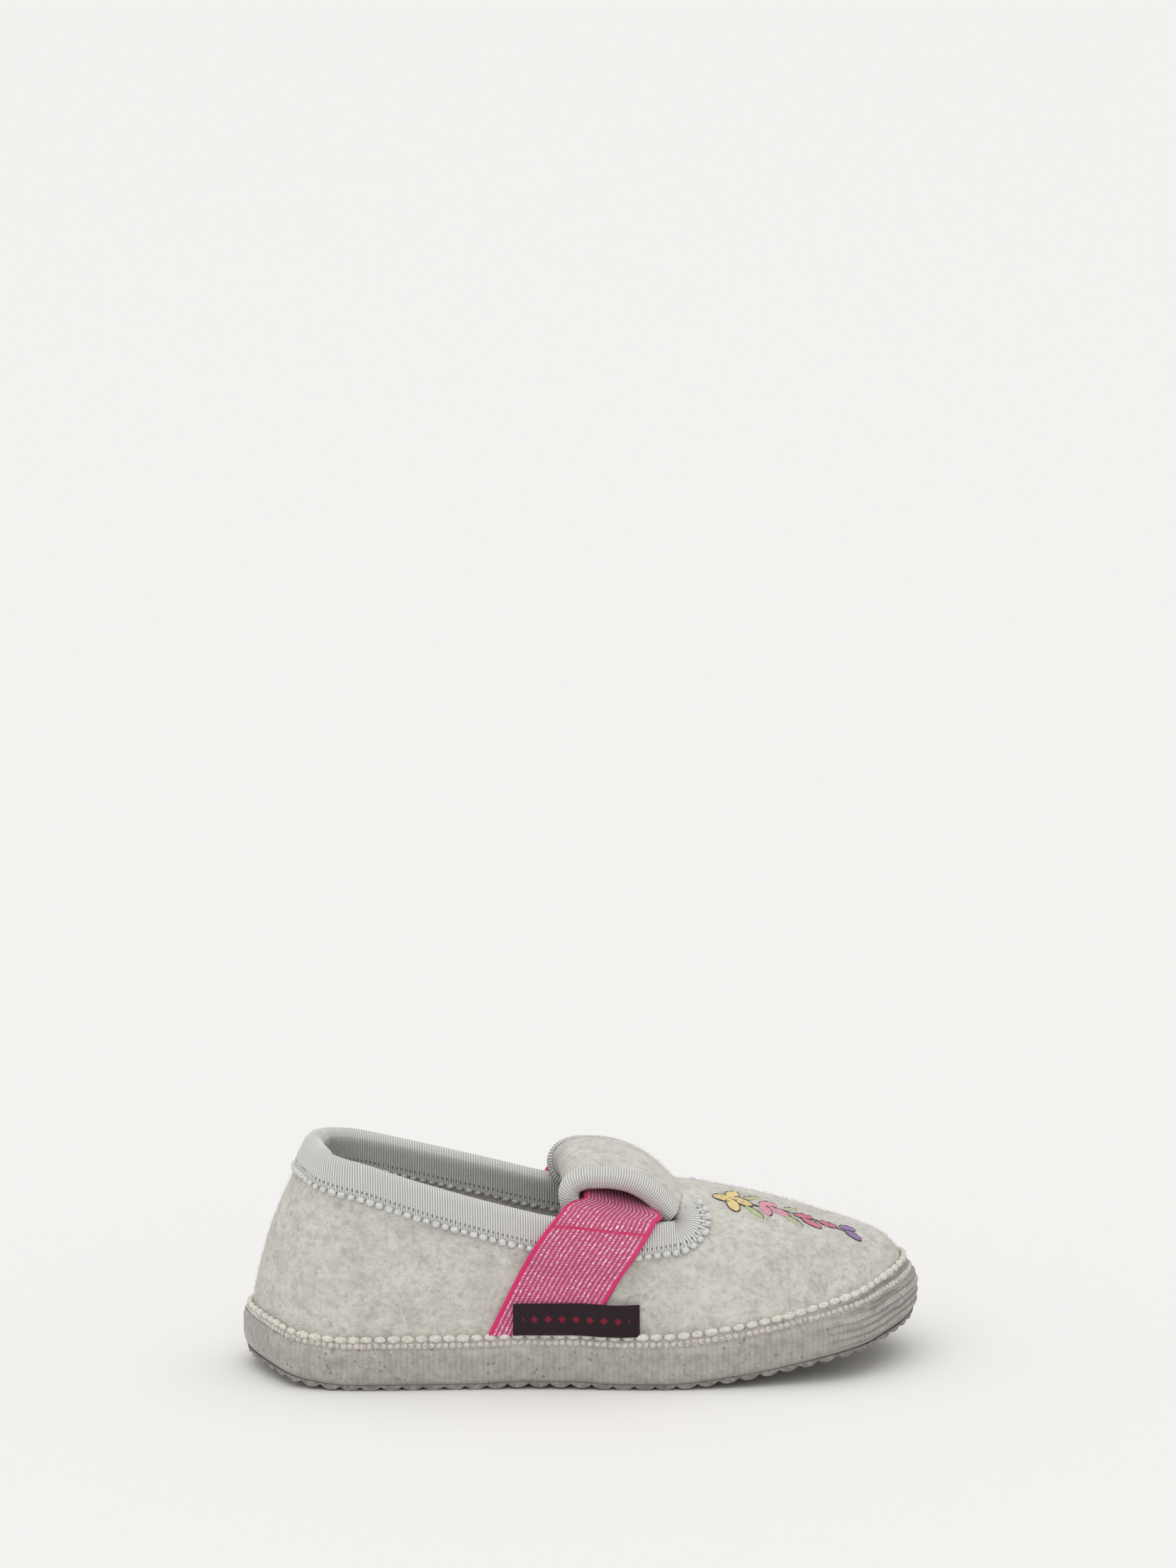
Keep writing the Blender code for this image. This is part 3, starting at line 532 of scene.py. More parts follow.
def foxing_top(station, share=1.0):
    """Height of the stitched band's top, or of a share of the band, at each station."""
    rim, _ = FELT_PLAN.at(station, -1)
    band = smooth(station, STITCH_RUN) * STITCH_BAND
    return underside(rim[:, 0]) + FOXING_HEIGHT + band * share


THROAT_STATION = float(station_of(THROAT_ALONG))


def notch_arcs(side):
    """Arc lengths up the throat's section to the notch's lower and upper end and to the ridge."""
    station = np.array([THROAT_STATION])
    low = topline_arc(station, side)[0]
    return low, low + NOTCH_GAP, section_curves(station, side)[1][0, -1]


THROAT_EDGE = {side: notch_arcs(side) for side in (-1, 1)}
NOTCH_SHARE = {side: [arc / THROAT_EDGE[side][2] for arc in THROAT_EDGE[side][:2]] for side in (-1, 1)}
MEETING_SHARE = [(NOTCH_SHARE[-1][end] + NOTCH_SHARE[1][end]) / 2 for end in (0, 1)]


def vamp_point(along, above, end, side):
    """Point over the vamp, at a share of the way from the end of the notch's line up to the ridge."""
    full = section_curves(np.clip(station_of(along), 0, 1), side)[1][:, -1]
    return felt(along, full * (end + (1 - end) * above), side)


def throat_point(across):
    """Point of the throat's edge at a share across, -1 at the lateral and 1 at the medial notch."""
    across = np.asarray(across, dtype=float)
    result = np.zeros((len(across), 3))
    for side in (-1, 1):
        mine = across > 0 if side > 0 else across <= 0
        along = THROAT_ALONG + THROAT_BOW * (1 - across[mine] ** 2)
        result[mine] = vamp_point(along, 1 - np.abs(across[mine]), NOTCH_SHARE[side][1], side)
    return result


def loop_curve():
    """Dense points of the loop's middle line as offsets back and up from the throat, with arc lengths."""
    offsets = np.array(LOOP_PATH) * (-LOOP_LENGTH, LOOP_RISE)
    chord = running_length(offsets)
    at = np.linspace(0, chord[-1], 200)
    back = smooth(at, list(zip(chord, offsets[:, 0])))
    rise = smooth(at, list(zip(chord, offsets[:, 1])))
    return np.stack((back, rise), axis=1), at


LOOP_LINE, LOOP_ARC = loop_curve()


def loop_face(way, across):
    """Outer face of the tongue loop: way is the distance from the throat, across a share of its width."""
    root = throat_point(across)
    ridge = throat_point(np.zeros(1))[0]
    back = np.interp(way, LOOP_ARC, LOOP_LINE[:, 0])
    rise = np.interp(way, LOOP_ARC, LOOP_LINE[:, 1])
    share = way / LOOP_ARC[-1]
    drop = (ridge[2] - root[:, 2]) * smooth(share, LOOP_SPREAD, 2)
    y = root[:, 1] * smooth(share, LOOP_SPREAD, 1)
    x = root[:, 0] + back * (root[:, 0] - THROAT_ALONG + LOOP_LENGTH) / LOOP_LENGTH
    return np.stack((x, y, ridge[2] + rise - drop), axis=1)


def felt_over(x, y):
    """Point of the felt's outer face over a place in plan, from the vamp to the toe.

    The place's reach from the spine to the rim gives its height on the section: foot plus the crown's
    rise times the root of 1 - reach to the power of the fullness.
    """
    centre = TOE_CENTRE * LENGTH
    ahead = x > centre
    side = np.where(y < 0, -1, 1)
    turn = np.abs(np.arctan2(y, x - centre))
    station = np.where(ahead, 1 - turn / (math.pi / 2) * (1 - HEEL_SHARE - MID_SHARE), station_of(x))
    rim = np.where((side < 0)[:, None], FELT_PLAN.at(station, -1)[0], FELT_PLAN.at(station, 1)[0])
    spine_x = np.minimum(x, centre)
    reach = np.hypot(x - spine_x, y) / np.hypot(rim[:, 0] - spine_x, rim[:, 1])
    foot = underside(rim[:, 0]) + OUTSOLE + GAP
    rise = np.sqrt(1 - np.clip(reach, 0, 1) ** smooth(station, BULGE))
    return np.stack((x, y, foot + (crown(x) - foot) * rise), axis=1)


# Meshes from arrays

def grid_faces(rows, columns, wrap_rows=False, wrap_columns=False, start=0):
    """Vertex numbers of the quads of a grid, row by row."""
    i = np.arange(rows if wrap_rows else rows - 1)
    j = np.arange(columns if wrap_columns else columns - 1)
    a, b = (part.ravel() for part in np.meshgrid(i, j, indexing="ij"))
    c = (a + 1) % rows
    d = (b + 1) % columns
    return start + np.stack((a * columns + b, a * columns + d, c * columns + d, c * columns + b), axis=1)


def add_object(name, data):
    """A scene object that holds this mesh, camera or light."""
    thing = bpy.data.objects.new(name, data)
    bpy.context.scene.collection.objects.link(thing)
    return thing


def make_piece(name, points, faces, material, node=None, uv=None, sharp=60, outward=True):
    """A mesh piece that rides on the slipper, from points and equal-sided faces, with its own UV map.

    uv holds two numbers for each point; faces may be several arrays, of quads and of triangles.
    """
    groups = faces if isinstance(faces, (list, tuple)) else [faces]
    mesh = bpy.data.meshes.new(name)
    loops = np.concatenate([group.ravel() for group in groups]).astype(np.int32)
    sizes = np.concatenate([np.full(len(group), group.shape[1]) for group in groups]).astype(np.int32)
    starts = np.concatenate(([0], np.cumsum(sizes)[:-1])).astype(np.int32)
    mesh.vertices.add(len(points))
    mesh.vertices.foreach_set("co", np.asarray(points, dtype=np.float32).ravel())
    mesh.loops.add(len(loops))
    mesh.loops.foreach_set("vertex_index", loops)
    mesh.polygons.add(len(sizes))
    mesh.polygons.foreach_set("loop_start", starts)
    mesh.update(calc_edges=True)
    if uv is not None:
        layer = mesh.uv_layers.new(name="cloth")
        layer.data.foreach_set("uv", np.asarray(uv, dtype=np.float32)[loops].ravel())
    bm = bmesh.new()
    bm.from_mesh(mesh)
    bmesh.ops.remove_doubles(bm, verts=bm.verts, dist=2e-6)
    if outward:
        bmesh.ops.recalc_face_normals(bm, faces=bm.faces)
    bm.to_mesh(mesh)
    bm.free()
    mesh.shade_smooth()
    mesh.set_sharp_from_angle(angle=math.radians(sharp))
    mesh.materials.append(material)
    piece = add_object(name, mesh)
    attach(piece, "root")
    if node:
        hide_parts(node)
    return piece


def tube_piece(name, rings, lengths, material, node, sharp):
    """Mesh piece of a tube from its sections, with a fan of triangles at each end.

    lengths holds the two numbers of its map, each by section, by point of the section, or both.
    """
    rows, columns, _ = rings.shape
    points = np.concatenate((rings.reshape(-1, 3), rings[:1].mean(axis=1), rings[-1:].mean(axis=1)))
    uv = np.stack(np.broadcast_arrays(*lengths), axis=2).reshape(-1, 2)
    ring = np.arange(columns)
    after = (ring + 1) % columns
    first = np.stack((np.full(columns, rows * columns), after, ring), axis=1)
    last_row = (rows - 1) * columns
    last = np.stack((np.full(columns, rows * columns + 1), last_row + ring, last_row + after), axis=1)
    return make_piece(name, points, [grid_faces(rows, columns, wrap_columns=True), first, last], material,
                      node, uv=np.concatenate((uv, np.zeros((2, 2)))), sharp=sharp)


def copies(faces, count, points):
    """Faces of one shape repeated for a count of copies, each with its own number of points."""
    shift = np.arange(count)[:, None, None] * points
    return (faces[None] + shift).reshape(-1, faces.shape[1])


def bead_row(centre, outward):
    """A row's bead middles, with their unit directions along the row and their outward normals."""
    return centre, square_to(outward, np.gradient(centre, axis=0)), outward


def build_beads(name, rows, sizes, swell, random, material):
    """Mesh piece of small rounded beads in rows, swollen at random between two factors.

    Each is an ellipsoid with half sizes along its row, across it and outward: a pole, four rings of
    eight points and the other pole.
    """
    centres, along, outward = (np.concatenate(part) for part in zip(*rows))
    turns = np.linspace(0, 2 * math.pi, 8, endpoint=False)
    ball = [(0, 0, -1)]
    for tilt in np.radians([-60, -20, 20, 60]):
        reach = math.cos(tilt)
        ball += [(math.cos(turn) * reach, math.sin(turn) * reach, math.sin(tilt)) for turn in turns]
    ball.append((0, 0, 1))
    scale = np.asarray(sizes) * random.uniform(*swell, (len(centres), 1))
    axes = np.stack((along, np.cross(outward, along), outward), axis=1)
    points = centres[:, None, :] + (np.array(ball) * scale[:, None, :]) @ axes
    total = len(ball)
    ring = np.arange(8)
    after = (ring + 1) % 8
    low = np.stack((np.zeros(8, int), 1 + after, 1 + ring), axis=1)
    high = np.stack((np.full(8, total - 1), total - 9 + ring, total - 9 + after), axis=1)
    quads = grid_faces(4, 8, wrap_columns=True, start=1)
    faces = [copies(one, len(centres), total) for one in (quads, np.concatenate((low, high)))]
    return make_piece(name, points.reshape(-1, 3), faces, material, sharp=180)


def soft_noise(points, size, seed):
    """Smooth random relief between about -1 and 1: a sum of waves in random directions, of one size."""
    random = np.random.default_rng(seed)
    way = unit(random.normal(size=(14, 3)))
    stretch = 2 * math.pi / (size * random.uniform(0.7, 1.6, 14))
    phase = random.uniform(0, 2 * math.pi, 14)
    return np.sin((points @ way.T) * stretch + phase).sum(axis=1) / 4.5


# Shader maths

class Value:
    """A number or vector in a material's nodes; arithmetic on numbers adds the Math nodes."""

    def __init__(self, tree, socket):
        self.tree = tree
        self.socket = socket

    def math(self, operation, *values):
        """A Math node of these values, which are Values or plain numbers."""
        node = self.tree.nodes.new("ShaderNodeMath")
        node.operation = operation
        for place, value in enumerate(values):
            if isinstance(value, Value):
                self.tree.links.new(value.socket, node.inputs[place])
            else:
                node.inputs[place].default_value = value
        return Value(self.tree, node.outputs[0])

    def __add__(self, other):
        return self.math("ADD", self, other)

    def __sub__(self, other):
        return self.math("SUBTRACT", self, other)

    def __rsub__(self, other):
        return self.math("SUBTRACT", other, self)

    def __mul__(self, other):
        return self.math("MULTIPLY", self, other)

    def __truediv__(self, other):
        return self.math("DIVIDE", self, other)

    __radd__ = __add__
    __rmul__ = __mul__

    def wave(self, pitch):
        """Cosine of this length, from 0 to 1, that repeats at a pitch."""
        return self.math("COSINE", self * (2 * math.pi / pitch)) * 0.5 + 0.5

    def step(self, low, high):
        """Soft step from 0 at low to 1 at high; low above high turns it round."""
        if low > high:
            return 1 - self.step(high, low)
        node = self.tree.nodes.new("ShaderNodeMapRange")
        node.interpolation_type = "SMOOTHSTEP"
        self.tree.links.new(self.socket, node.inputs["Value"])
        node.inputs["From Min"].default_value = low
        node.inputs["From Max"].default_value = high
        return Value(self.tree, node.outputs["Result"])

    def distance(self, other):
        """Absolute difference from another number."""
        return self.math("ABSOLUTE", self - other)


class Finish:
    """One material: a Principled shader with expressions for its colour, roughness and relief."""

    def __init__(self, name, **fixed):
        self.material = bpy.data.materials.new(name)
        self.material.use_nodes = True
        self.tree = self.material.node_tree
        self.shader = self.tree.nodes["Principled BSDF"]
        for socket, value in fixed.items():
            self.shader.inputs[socket.replace("_", " ")].default_value = value
        coordinates = self.tree.nodes.new("ShaderNodeTexCoord")
        self.place = Value(self.tree, coordinates.outputs["Object"])

    def node(self, kind, settings=(), output=0, **sockets):
        """A node of a type: its settings first, then the values or links of its sockets."""
        node = self.tree.nodes.new(kind)
        for setting, value in dict(settings).items():
            setattr(node, setting, value)
        for socket, value in sockets.items():
            target = node.inputs[socket.replace("_", " ")]
            if isinstance(value, Value):
                self.tree.links.new(value.socket, target)
            else:
                target.default_value = value
        return Value(self.tree, node.outputs[output])

    def cloth(self):
        """The piece's own map: lengths across and along in metres, as two numbers."""
        flat = self.node("ShaderNodeUVMap", {"uv_map": "cloth"})
        split = self.tree.nodes.new("ShaderNodeSeparateXYZ")
        self.tree.links.new(flat.socket, split.inputs[0])
        return Value(self.tree, split.outputs[0]), Value(self.tree, split.outputs[1]), flat

    def noise(self, size, detail=3.0, roughness=0.55, where=None, stretch=None, seed=0.0):
        """Noise from 0 to 1 with features of about one size; stretch lengthens it along the axes."""
        place = where or self.place
        scale = [1 / size / part for part in (stretch or (1, 1, 1))]
        moved = self.node("ShaderNodeMapping", {}, Vector=place, Location=(seed, seed, seed), Scale=scale)
        return self.node("ShaderNodeTexNoise", {}, Vector=moved, Scale=1.0, Detail=detail, Roughness=roughness)

    def spots(self, size, where=None, seed=0.0):
        """Distance from the middle of scattered cells of about one size, as a share of it."""
        place = where or self.place
        scale = [1 / size] * 3
        moved = self.node("ShaderNodeMapping", {}, Vector=place, Location=(seed, seed, seed), Scale=scale)
        return self.node("ShaderNodeTexVoronoi", {}, Vector=moved, Scale=1.0)

    def mix(self, low, high, share):
        """Colour that goes from low to high as the share goes from 0 to 1."""
        node = self.tree.nodes.new("ShaderNodeMix")
        node.data_type = "RGBA"
        for place, value in ((6, low), (7, high)):
            if isinstance(value, Value):
                self.tree.links.new(value.socket, node.inputs[place])
            else:
                node.inputs[place].default_value = (*value, 1.0)
        self.tree.links.new(share.socket, node.inputs[0])
        return Value(self.tree, node.outputs[2])

    def colour(self, value):
        self.tree.links.new(value.socket, self.shader.inputs["Base Color"])

    def roughness(self, value):
        self.tree.links.new(value.socket, self.shader.inputs["Roughness"])

    def metallic(self, value):
        self.tree.links.new(value.socket, self.shader.inputs["Metallic"])

    def relief(self, height, depth):
        """Bump of a height from 0 to 1 that stands for a depth in metres."""
        bump = self.node("ShaderNodeBump", {}, "Normal", Height=height, Distance=depth, Strength=1.0)
        self.tree.links.new(bump.socket, self.shader.inputs["Normal"])


def linear(red, green, blue):
    """Linear colour of an sRGB colour that is given in 255ths."""
    return tuple(((c / 255 + 0.055) / 1.055) ** 2.4 if c > 10 else c / 255 / 12.92 for c in (red, green, blue))


def boiled_wool(name, shade=1.0):
    """Light grey felt: mottled in soft blotches, with a fine matted grain; a shade below 1 darkens all its
    colours, a painted-shade copy for felt that lies in shadow.
    """
    finish = Finish(name, Roughness=0.95, Sheen_Weight=0.25, Sheen_Roughness=0.6)
    blotch = finish.noise(0.0046, 4.0, 0.62).step(0.36, 0.68)
    fleck = finish.noise(0.0016, 4.0, 0.66, seed=3.0).step(0.44, 0.74)
    blue = finish.noise(0.0030, 3.0, 0.6, seed=9.0).step(0.56, 0.76)
    hairs = finish.noise(0.0007, 5.0, 0.8, stretch=(2.2, 1.0, 0.8), seed=5.0)
    # shade scales the colours below: painted shade when it is below 1
    light = [c * shade for c in linear(227, 225, 215)]
    middle = [c * shade for c in linear(208, 206, 196)]
    dark = [c * shade for c in linear(174, 171, 163)]
    cool = [c * shade for c in linear(176, 177, 180)]
    colour = finish.mix(light, middle, blotch)
    colour = finish.mix(colour, dark, fleck * 0.62)
    colour = finish.mix(colour, cool, blue * 0.22)
    colour = finish.mix(colour, linear(150, 149, 145), hairs.step(0.54, 0.74) * 0.42)
    colour = finish.mix(colour, linear(240, 239, 232), hairs.step(0.46, 0.30) * 0.40)
    finish.colour(colour)
    matted = finish.noise(0.0012, 5.0, 0.75, seed=2.0)
    finish.relief(matted * 0.6 + hairs * 0.4, 0.00070)
    return finish.material


def ribbed_tape(name):
    """Pale knit tape: fine ribs across it, each a column of small loops, with needle holes by the edge; painted
    shade darkens the troughs between the ribs and the holes.
    """
    finish = Finish(name, Roughness=0.86, Sheen_Weight=0.25, Sheen_Roughness=0.5)
    along, across, _ = finish.cloth()
    rib = along.wave(RIB_PITCH)
    loops = across.wave(RIB_PITCH * 0.9)
    shade = finish.noise(0.004, 3.0)
    hole = (along.wave(COLLAR_BEAD_PITCH / 2).step(0.70, 0.95)
            * across.distance(TAPE_REACH - 0.0015).step(0.00046, 0.00020))
    # Painted shade: the troughs between the ribs are painted darker than their crests.
    colour = finish.mix(linear(172, 171, 169), linear(230, 229, 223), rib.step(0.10, 0.80))
    colour = finish.mix(colour, linear(204, 203, 200), shade.step(0.45, 0.75) * 0.5)
    # Painted shade: the needle holes are painted near-black, the shade inside them.
    colour = finish.mix(colour, linear(92, 88, 88), hole * 0.85)
    finish.colour(colour)
    finish.relief(rib * 0.6 + loops * 0.25 + finish.noise(0.0004, 2.0) * 0.15 - hole * 0.8, 0.00022)
    return finish.material


def knit_edging(name, light, dark):
    """Cotton of the beads: soft twisted yarn, with painted shade as the dark colour in patches of its yarn
    noise.
    """
    finish = Finish(name, Roughness=0.88, Sheen_Weight=0.2, Sheen_Roughness=0.5)
    yarn = finish.noise(0.0007, 4.0, 0.65)
    # Painted shade: the dark colour fills the patches where the yarn noise is high.
    colour = finish.mix(light, dark, yarn.step(0.42, 0.70))
    finish.colour(colour)
    finish.relief(yarn, 0.00025)
    return finish.material


def glitter_elastic():
    """Pink elastic: ribs along it with a silvery thread between them, and hot pink corded edges."""
    finish = Finish("glitter_elastic", Sheen_Weight=0.15, Sheen_Roughness=0.4)
    across, along, flat = finish.cloth()
    rib = across.wave(STRAP_RIB_PITCH)
    edge = across.math("ABSOLUTE", across).step(0.5 * STRAP_WIDTH - 1.25 * STRAP_EDGE_CORD,
                                                0.5 * STRAP_WIDTH - 1.05 * STRAP_EDGE_CORD)
    picks = along.wave(0.00062)
    glint = finish.spots(0.00050, flat).step(0.50, 0.26)
    glint = glint * finish.noise(0.0010, 2.0, where=flat).step(0.38, 0.54)
    silver_glint = glint * rib.step(0.25, 0.65) * (1 - edge)
    thread = rib.step(0.40, 0.85) * picks.step(0.1, 0.7) * (1 - edge)
    colour = finish.mix(linear(184, 52, 104), linear(208, 104, 142), rib * 0.8)
    colour = finish.mix(colour, linear(226, 172, 192), thread * 0.60)
    # The glitter specks are real metallic flakes, and their sparkle is also painted into the colour as
    # near-white painted highlights.
    colour = finish.mix(colour, linear(246, 230, 236), silver_glint * 0.90)
    colour = finish.mix(colour, linear(222, 36, 108), edge)
    seam = along.distance(STRAP_STITCH_AT).step(0.00050, 0.00022) * (1 - edge)
    colour = finish.mix(colour, linear(205, 36, 96), seam * 0.9)
    finish.colour(colour)
    finish.roughness(0.62 - silver_glint * 0.32)
    finish.metallic(silver_glint * 0.55)
    finish.relief(rib * 0.55 + picks * 0.20 + edge * 0.25 - seam * 0.3, 0.00030)
    return finish.material


def woven_flag():
    """Near-black woven label: fine satin weave with a bare face and a plain border of small red diamonds."""
    finish = Finish("woven_flag", Roughness=0.82, Specular_IOR_Level=0.25)
    along, up, flat = finish.cloth()
    weave = along.wave(0.00042) * up.wave(0.00034)
    tuft = finish.noise(0.0012, 3.0, where=flat)
    row = up.distance(LABEL_HEIGHT * 0.5) / 0.0011
    diamond = along.math("PINGPONG", along, 0.0017) / 0.0011 + row
    bordered = along.distance(0).step(LABEL_LENGTH * 0.43, LABEL_LENGTH * 0.42)
    red = diamond.step(1.0, 0.72) * bordered
    colour = finish.mix(linear(34, 24, 29), linear(58, 44, 49), weave * 0.6 + tuft * 0.3)
    colour = finish.mix(colour, linear(138, 30, 54), red * 0.85)
    finish.colour(colour)
    finish.relief(weave * 0.7 + red * 0.3, 0.00012)
    return finish.material


def dipped_knit():
    """Band round the sole's side: knit dipped in latex, with faint ribs, pinholes, bright specks and glossy
    film; painted shade darkens the rib troughs, pinholes, toe folds and lower edge, and a painted sheen
    lightens the film.
    """
    finish = Finish("dipped_knit", Sheen_Weight=0.1)
    along, up, flat = finish.cloth()
    grain = finish.noise(0.0021, 5.0, 0.68)
    ribs = along.wave(0.00135) * 0.6 + finish.noise(0.0009, 3.0, where=flat) * 0.4
    pits = finish.spots(0.0015, flat).step(0.28, 0.12) * finish.noise(0.004, 2.0, seed=4.0).step(0.44, 0.60)
    specks = finish.spots(0.0026, flat, seed=7.0).step(0.14, 0.06)
    film_sheen = finish.noise(0.0065, 4.0, 0.6, stretch=(1.6, 1.6, 0.7), seed=6.0)
    colour = finish.mix(linear(152, 147, 141), linear(180, 175, 168), grain.step(0.30, 0.70))
    # Painted shade: the troughs between the faint ribs are painted darker.
    colour = finish.mix(colour, linear(138, 133, 128), ribs.step(0.62, 0.25) * 0.26)
    # Glossy latex film: real lower roughness, and a painted sheen that lightens its colour.
    colour = finish.mix(colour, linear(194, 190, 184), film_sheen.step(0.50, 0.72) * 0.45)
    # Painted shade: the pinholes are painted darker, the shade inside them.
    colour = finish.mix(colour, linear(96, 90, 87), pits * 0.55)
    colour = finish.mix(colour, linear(226, 224, 220), specks * 0.55)
    # Painted shade: darker within a few millimetres of the band's lower edge, where it tucks under toward the
    # sole.
    colour = finish.mix(colour, linear(108, 102, 98), up.step(0.0028, 0.0008) * 0.6)
    # Painted shade: the toe's fold creases are painted darker, as well as sunk in the relief.
    toe = finish.node("ShaderNodeSeparateXYZ", Vector=finish.place).step(0.050, 0.074)
    fold = (up + finish.noise(0.009, 2.0, stretch=(2.0, 2.0, 1.0)) * 0.0022).wave(0.0019).step(0.72, 0.98) * toe
    colour = finish.mix(colour, linear(112, 107, 103), fold * 0.60)
    finish.colour(colour)
    finish.roughness(0.74 - film_sheen * 0.32)
    finish.relief(ribs * 0.25 + grain * 0.55 - pits * 0.5 + specks * 0.3 - fold * 0.8, 0.00034)
    return finish.material


def sole_rubber():
    """Grey crumb rubber of the sole, scuffed and a little dirty underneath."""
    finish = Finish("sole_rubber")
    crumb = finish.noise(0.0013, 4.0, 0.65)
    dirt = finish.noise(0.009, 4.0, 0.6, seed=8.0)
    colour = finish.mix(linear(122, 117, 112), linear(158, 153, 147), crumb.step(0.36, 0.66))
    colour = finish.mix(colour, linear(92, 84, 78), dirt.step(0.50, 0.70) * 0.45)
    finish.colour(colour)
    finish.roughness(0.72 + dirt * 0.15)
    finish.relief(crumb, 0.00018)
    return finish.material


def thread(name, colour, gloss=0.45):
    """Embroidery yarn with a soft lustre."""
    finish = Finish(name, Roughness=gloss, Sheen_Weight=0.3, Sheen_Roughness=0.4)
    ply = finish.noise(0.0005, 3.0)
    finish.colour(finish.mix([c * 0.78 for c in linear(*colour)], linear(*colour), ply.step(0.35, 0.6)))
    finish.relief(ply, 0.00008)
    return finish.material


# The felt upper and its tapes

def dented(points, side):
    """Felt points pushed in toward the middle by the soft creases and hollows of their side.

    Each dent falls off as exp(-distance squared) in x and z, and fades out at the middle line.
    """
    moved = points.copy()
    fade = np.clip(np.abs(points[:, 1]) / DENT_FADE, 0, 1)
    for _, x, y, z, reach_x, reach_z, depth in FELT_DENTS:
        if y * side <= 0:
            continue
        near = np.exp(-((points[:, 0] - x) / reach_x) ** 2 - ((points[:, 2] - z) / reach_z) ** 2)
        moved[:, 1] -= side * depth * near * fade
    return moved


def felt_lumps(points, normals):
    """Felt points with gentle lumps of two sizes along their normals."""
    height = sum(depth * soft_noise(points, size, seed) for depth, size, seed in FELT_LUMPS)
    return points + height[:, None] * normals


def build_upper_felt(material):
    """The felt shell: quarters, vamp and folded tongue as fine grids, welded and given a thickness."""
    quarter = spread((0, HEEL_SHARE, THROAT_STATION), (45, 85))
    front = spread((THROAT_STATION, HEEL_SHARE + MID_SHARE, 1), (21, 59))
    blocks = []
    faces = []
    count = 0
    rise = 26
    over = 20

    def add(rows, side):
        nonlocal count
        grid = np.stack(rows)
        faces.append(grid_faces(grid.shape[0], grid.shape[1], start=count))
        blocks.append(dented(grid.reshape(-1, 3), side) if side else grid.reshape(-1, 3))
        count += grid.shape[0] * grid.shape[1]

    for side in (-1, 1):
        top = topline_arc(quarter, side)
        add([felt(along_of(quarter), top * share, side) for share in np.linspace(0, 1, rise + 1)], side)
        full = section_curves(front, side)[1][:, -1]
        blend = (front - THROAT_STATION) / (1 - THROAT_STATION)
        notch, end = (NOTCH_SHARE[side][k] * (1 - blend) + MEETING_SHARE[k] * blend for k in (0, 1))
        rows = [felt(along_of(front), full * notch * share, side) for share in np.linspace(0, 1, rise + 1)]
        fade = np.clip((HEEL_SHARE + MID_SHARE - front) / (HEEL_SHARE + MID_SHARE - front[0]), 0, 1)
        for above in np.linspace(0, 1, over + 1):
            along = along_of(front) + THROAT_BOW * (1 - (1 - above) ** 2) * fade
            rows.append(vamp_point(along, above, end, side))
        add(rows, side)
    across = spread((-1, 0, 1), (over, over))
    add([loop_face(np.full(across.shape, way), across) for way in np.linspace(0, LOOP_ARC[-1], 90)], 0)
    piece = make_piece("upper_felt", np.concatenate(blocks), faces, material, "upper", sharp=80)
    mesh = piece.data
    points = np.empty(len(mesh.vertices) * 3, dtype=np.float32)
    normals = np.empty(len(mesh.vertices) * 3, dtype=np.float32)
    mesh.vertices.foreach_get("co", points)
    mesh.vertices.foreach_get("normal", normals)
    lumpy = felt_lumps(points.reshape(-1, 3).astype(float), normals.reshape(-1, 3))
    mesh.vertices.foreach_set("co", lumpy.astype(np.float32).ravel())
    wall = piece.modifiers.new("wall", "SOLIDIFY")
    wall.thickness = FELT
    wall.offset = -1
    wall.use_even_offset = False
    return piece


def even_edge(edge, surface, pitch, reach):
    """An edge's rows (along, arc, angle) spaced evenly at about a pitch, measured half way down the tape."""
    edge = np.asarray(edge, dtype=float)
    line = surface(edge[:, 0] + reach * np.cos(edge[:, 2]), edge[:, 1] + reach * np.sin(edge[:, 2]))
    length = running_length(line)
    count = max(8, int(round(length[-1] / pitch)))
    at = np.linspace(0, length[-1], count + 1)
    return np.stack([np.interp(at, length, edge[:, k]) for k in range(3)], axis=1), at


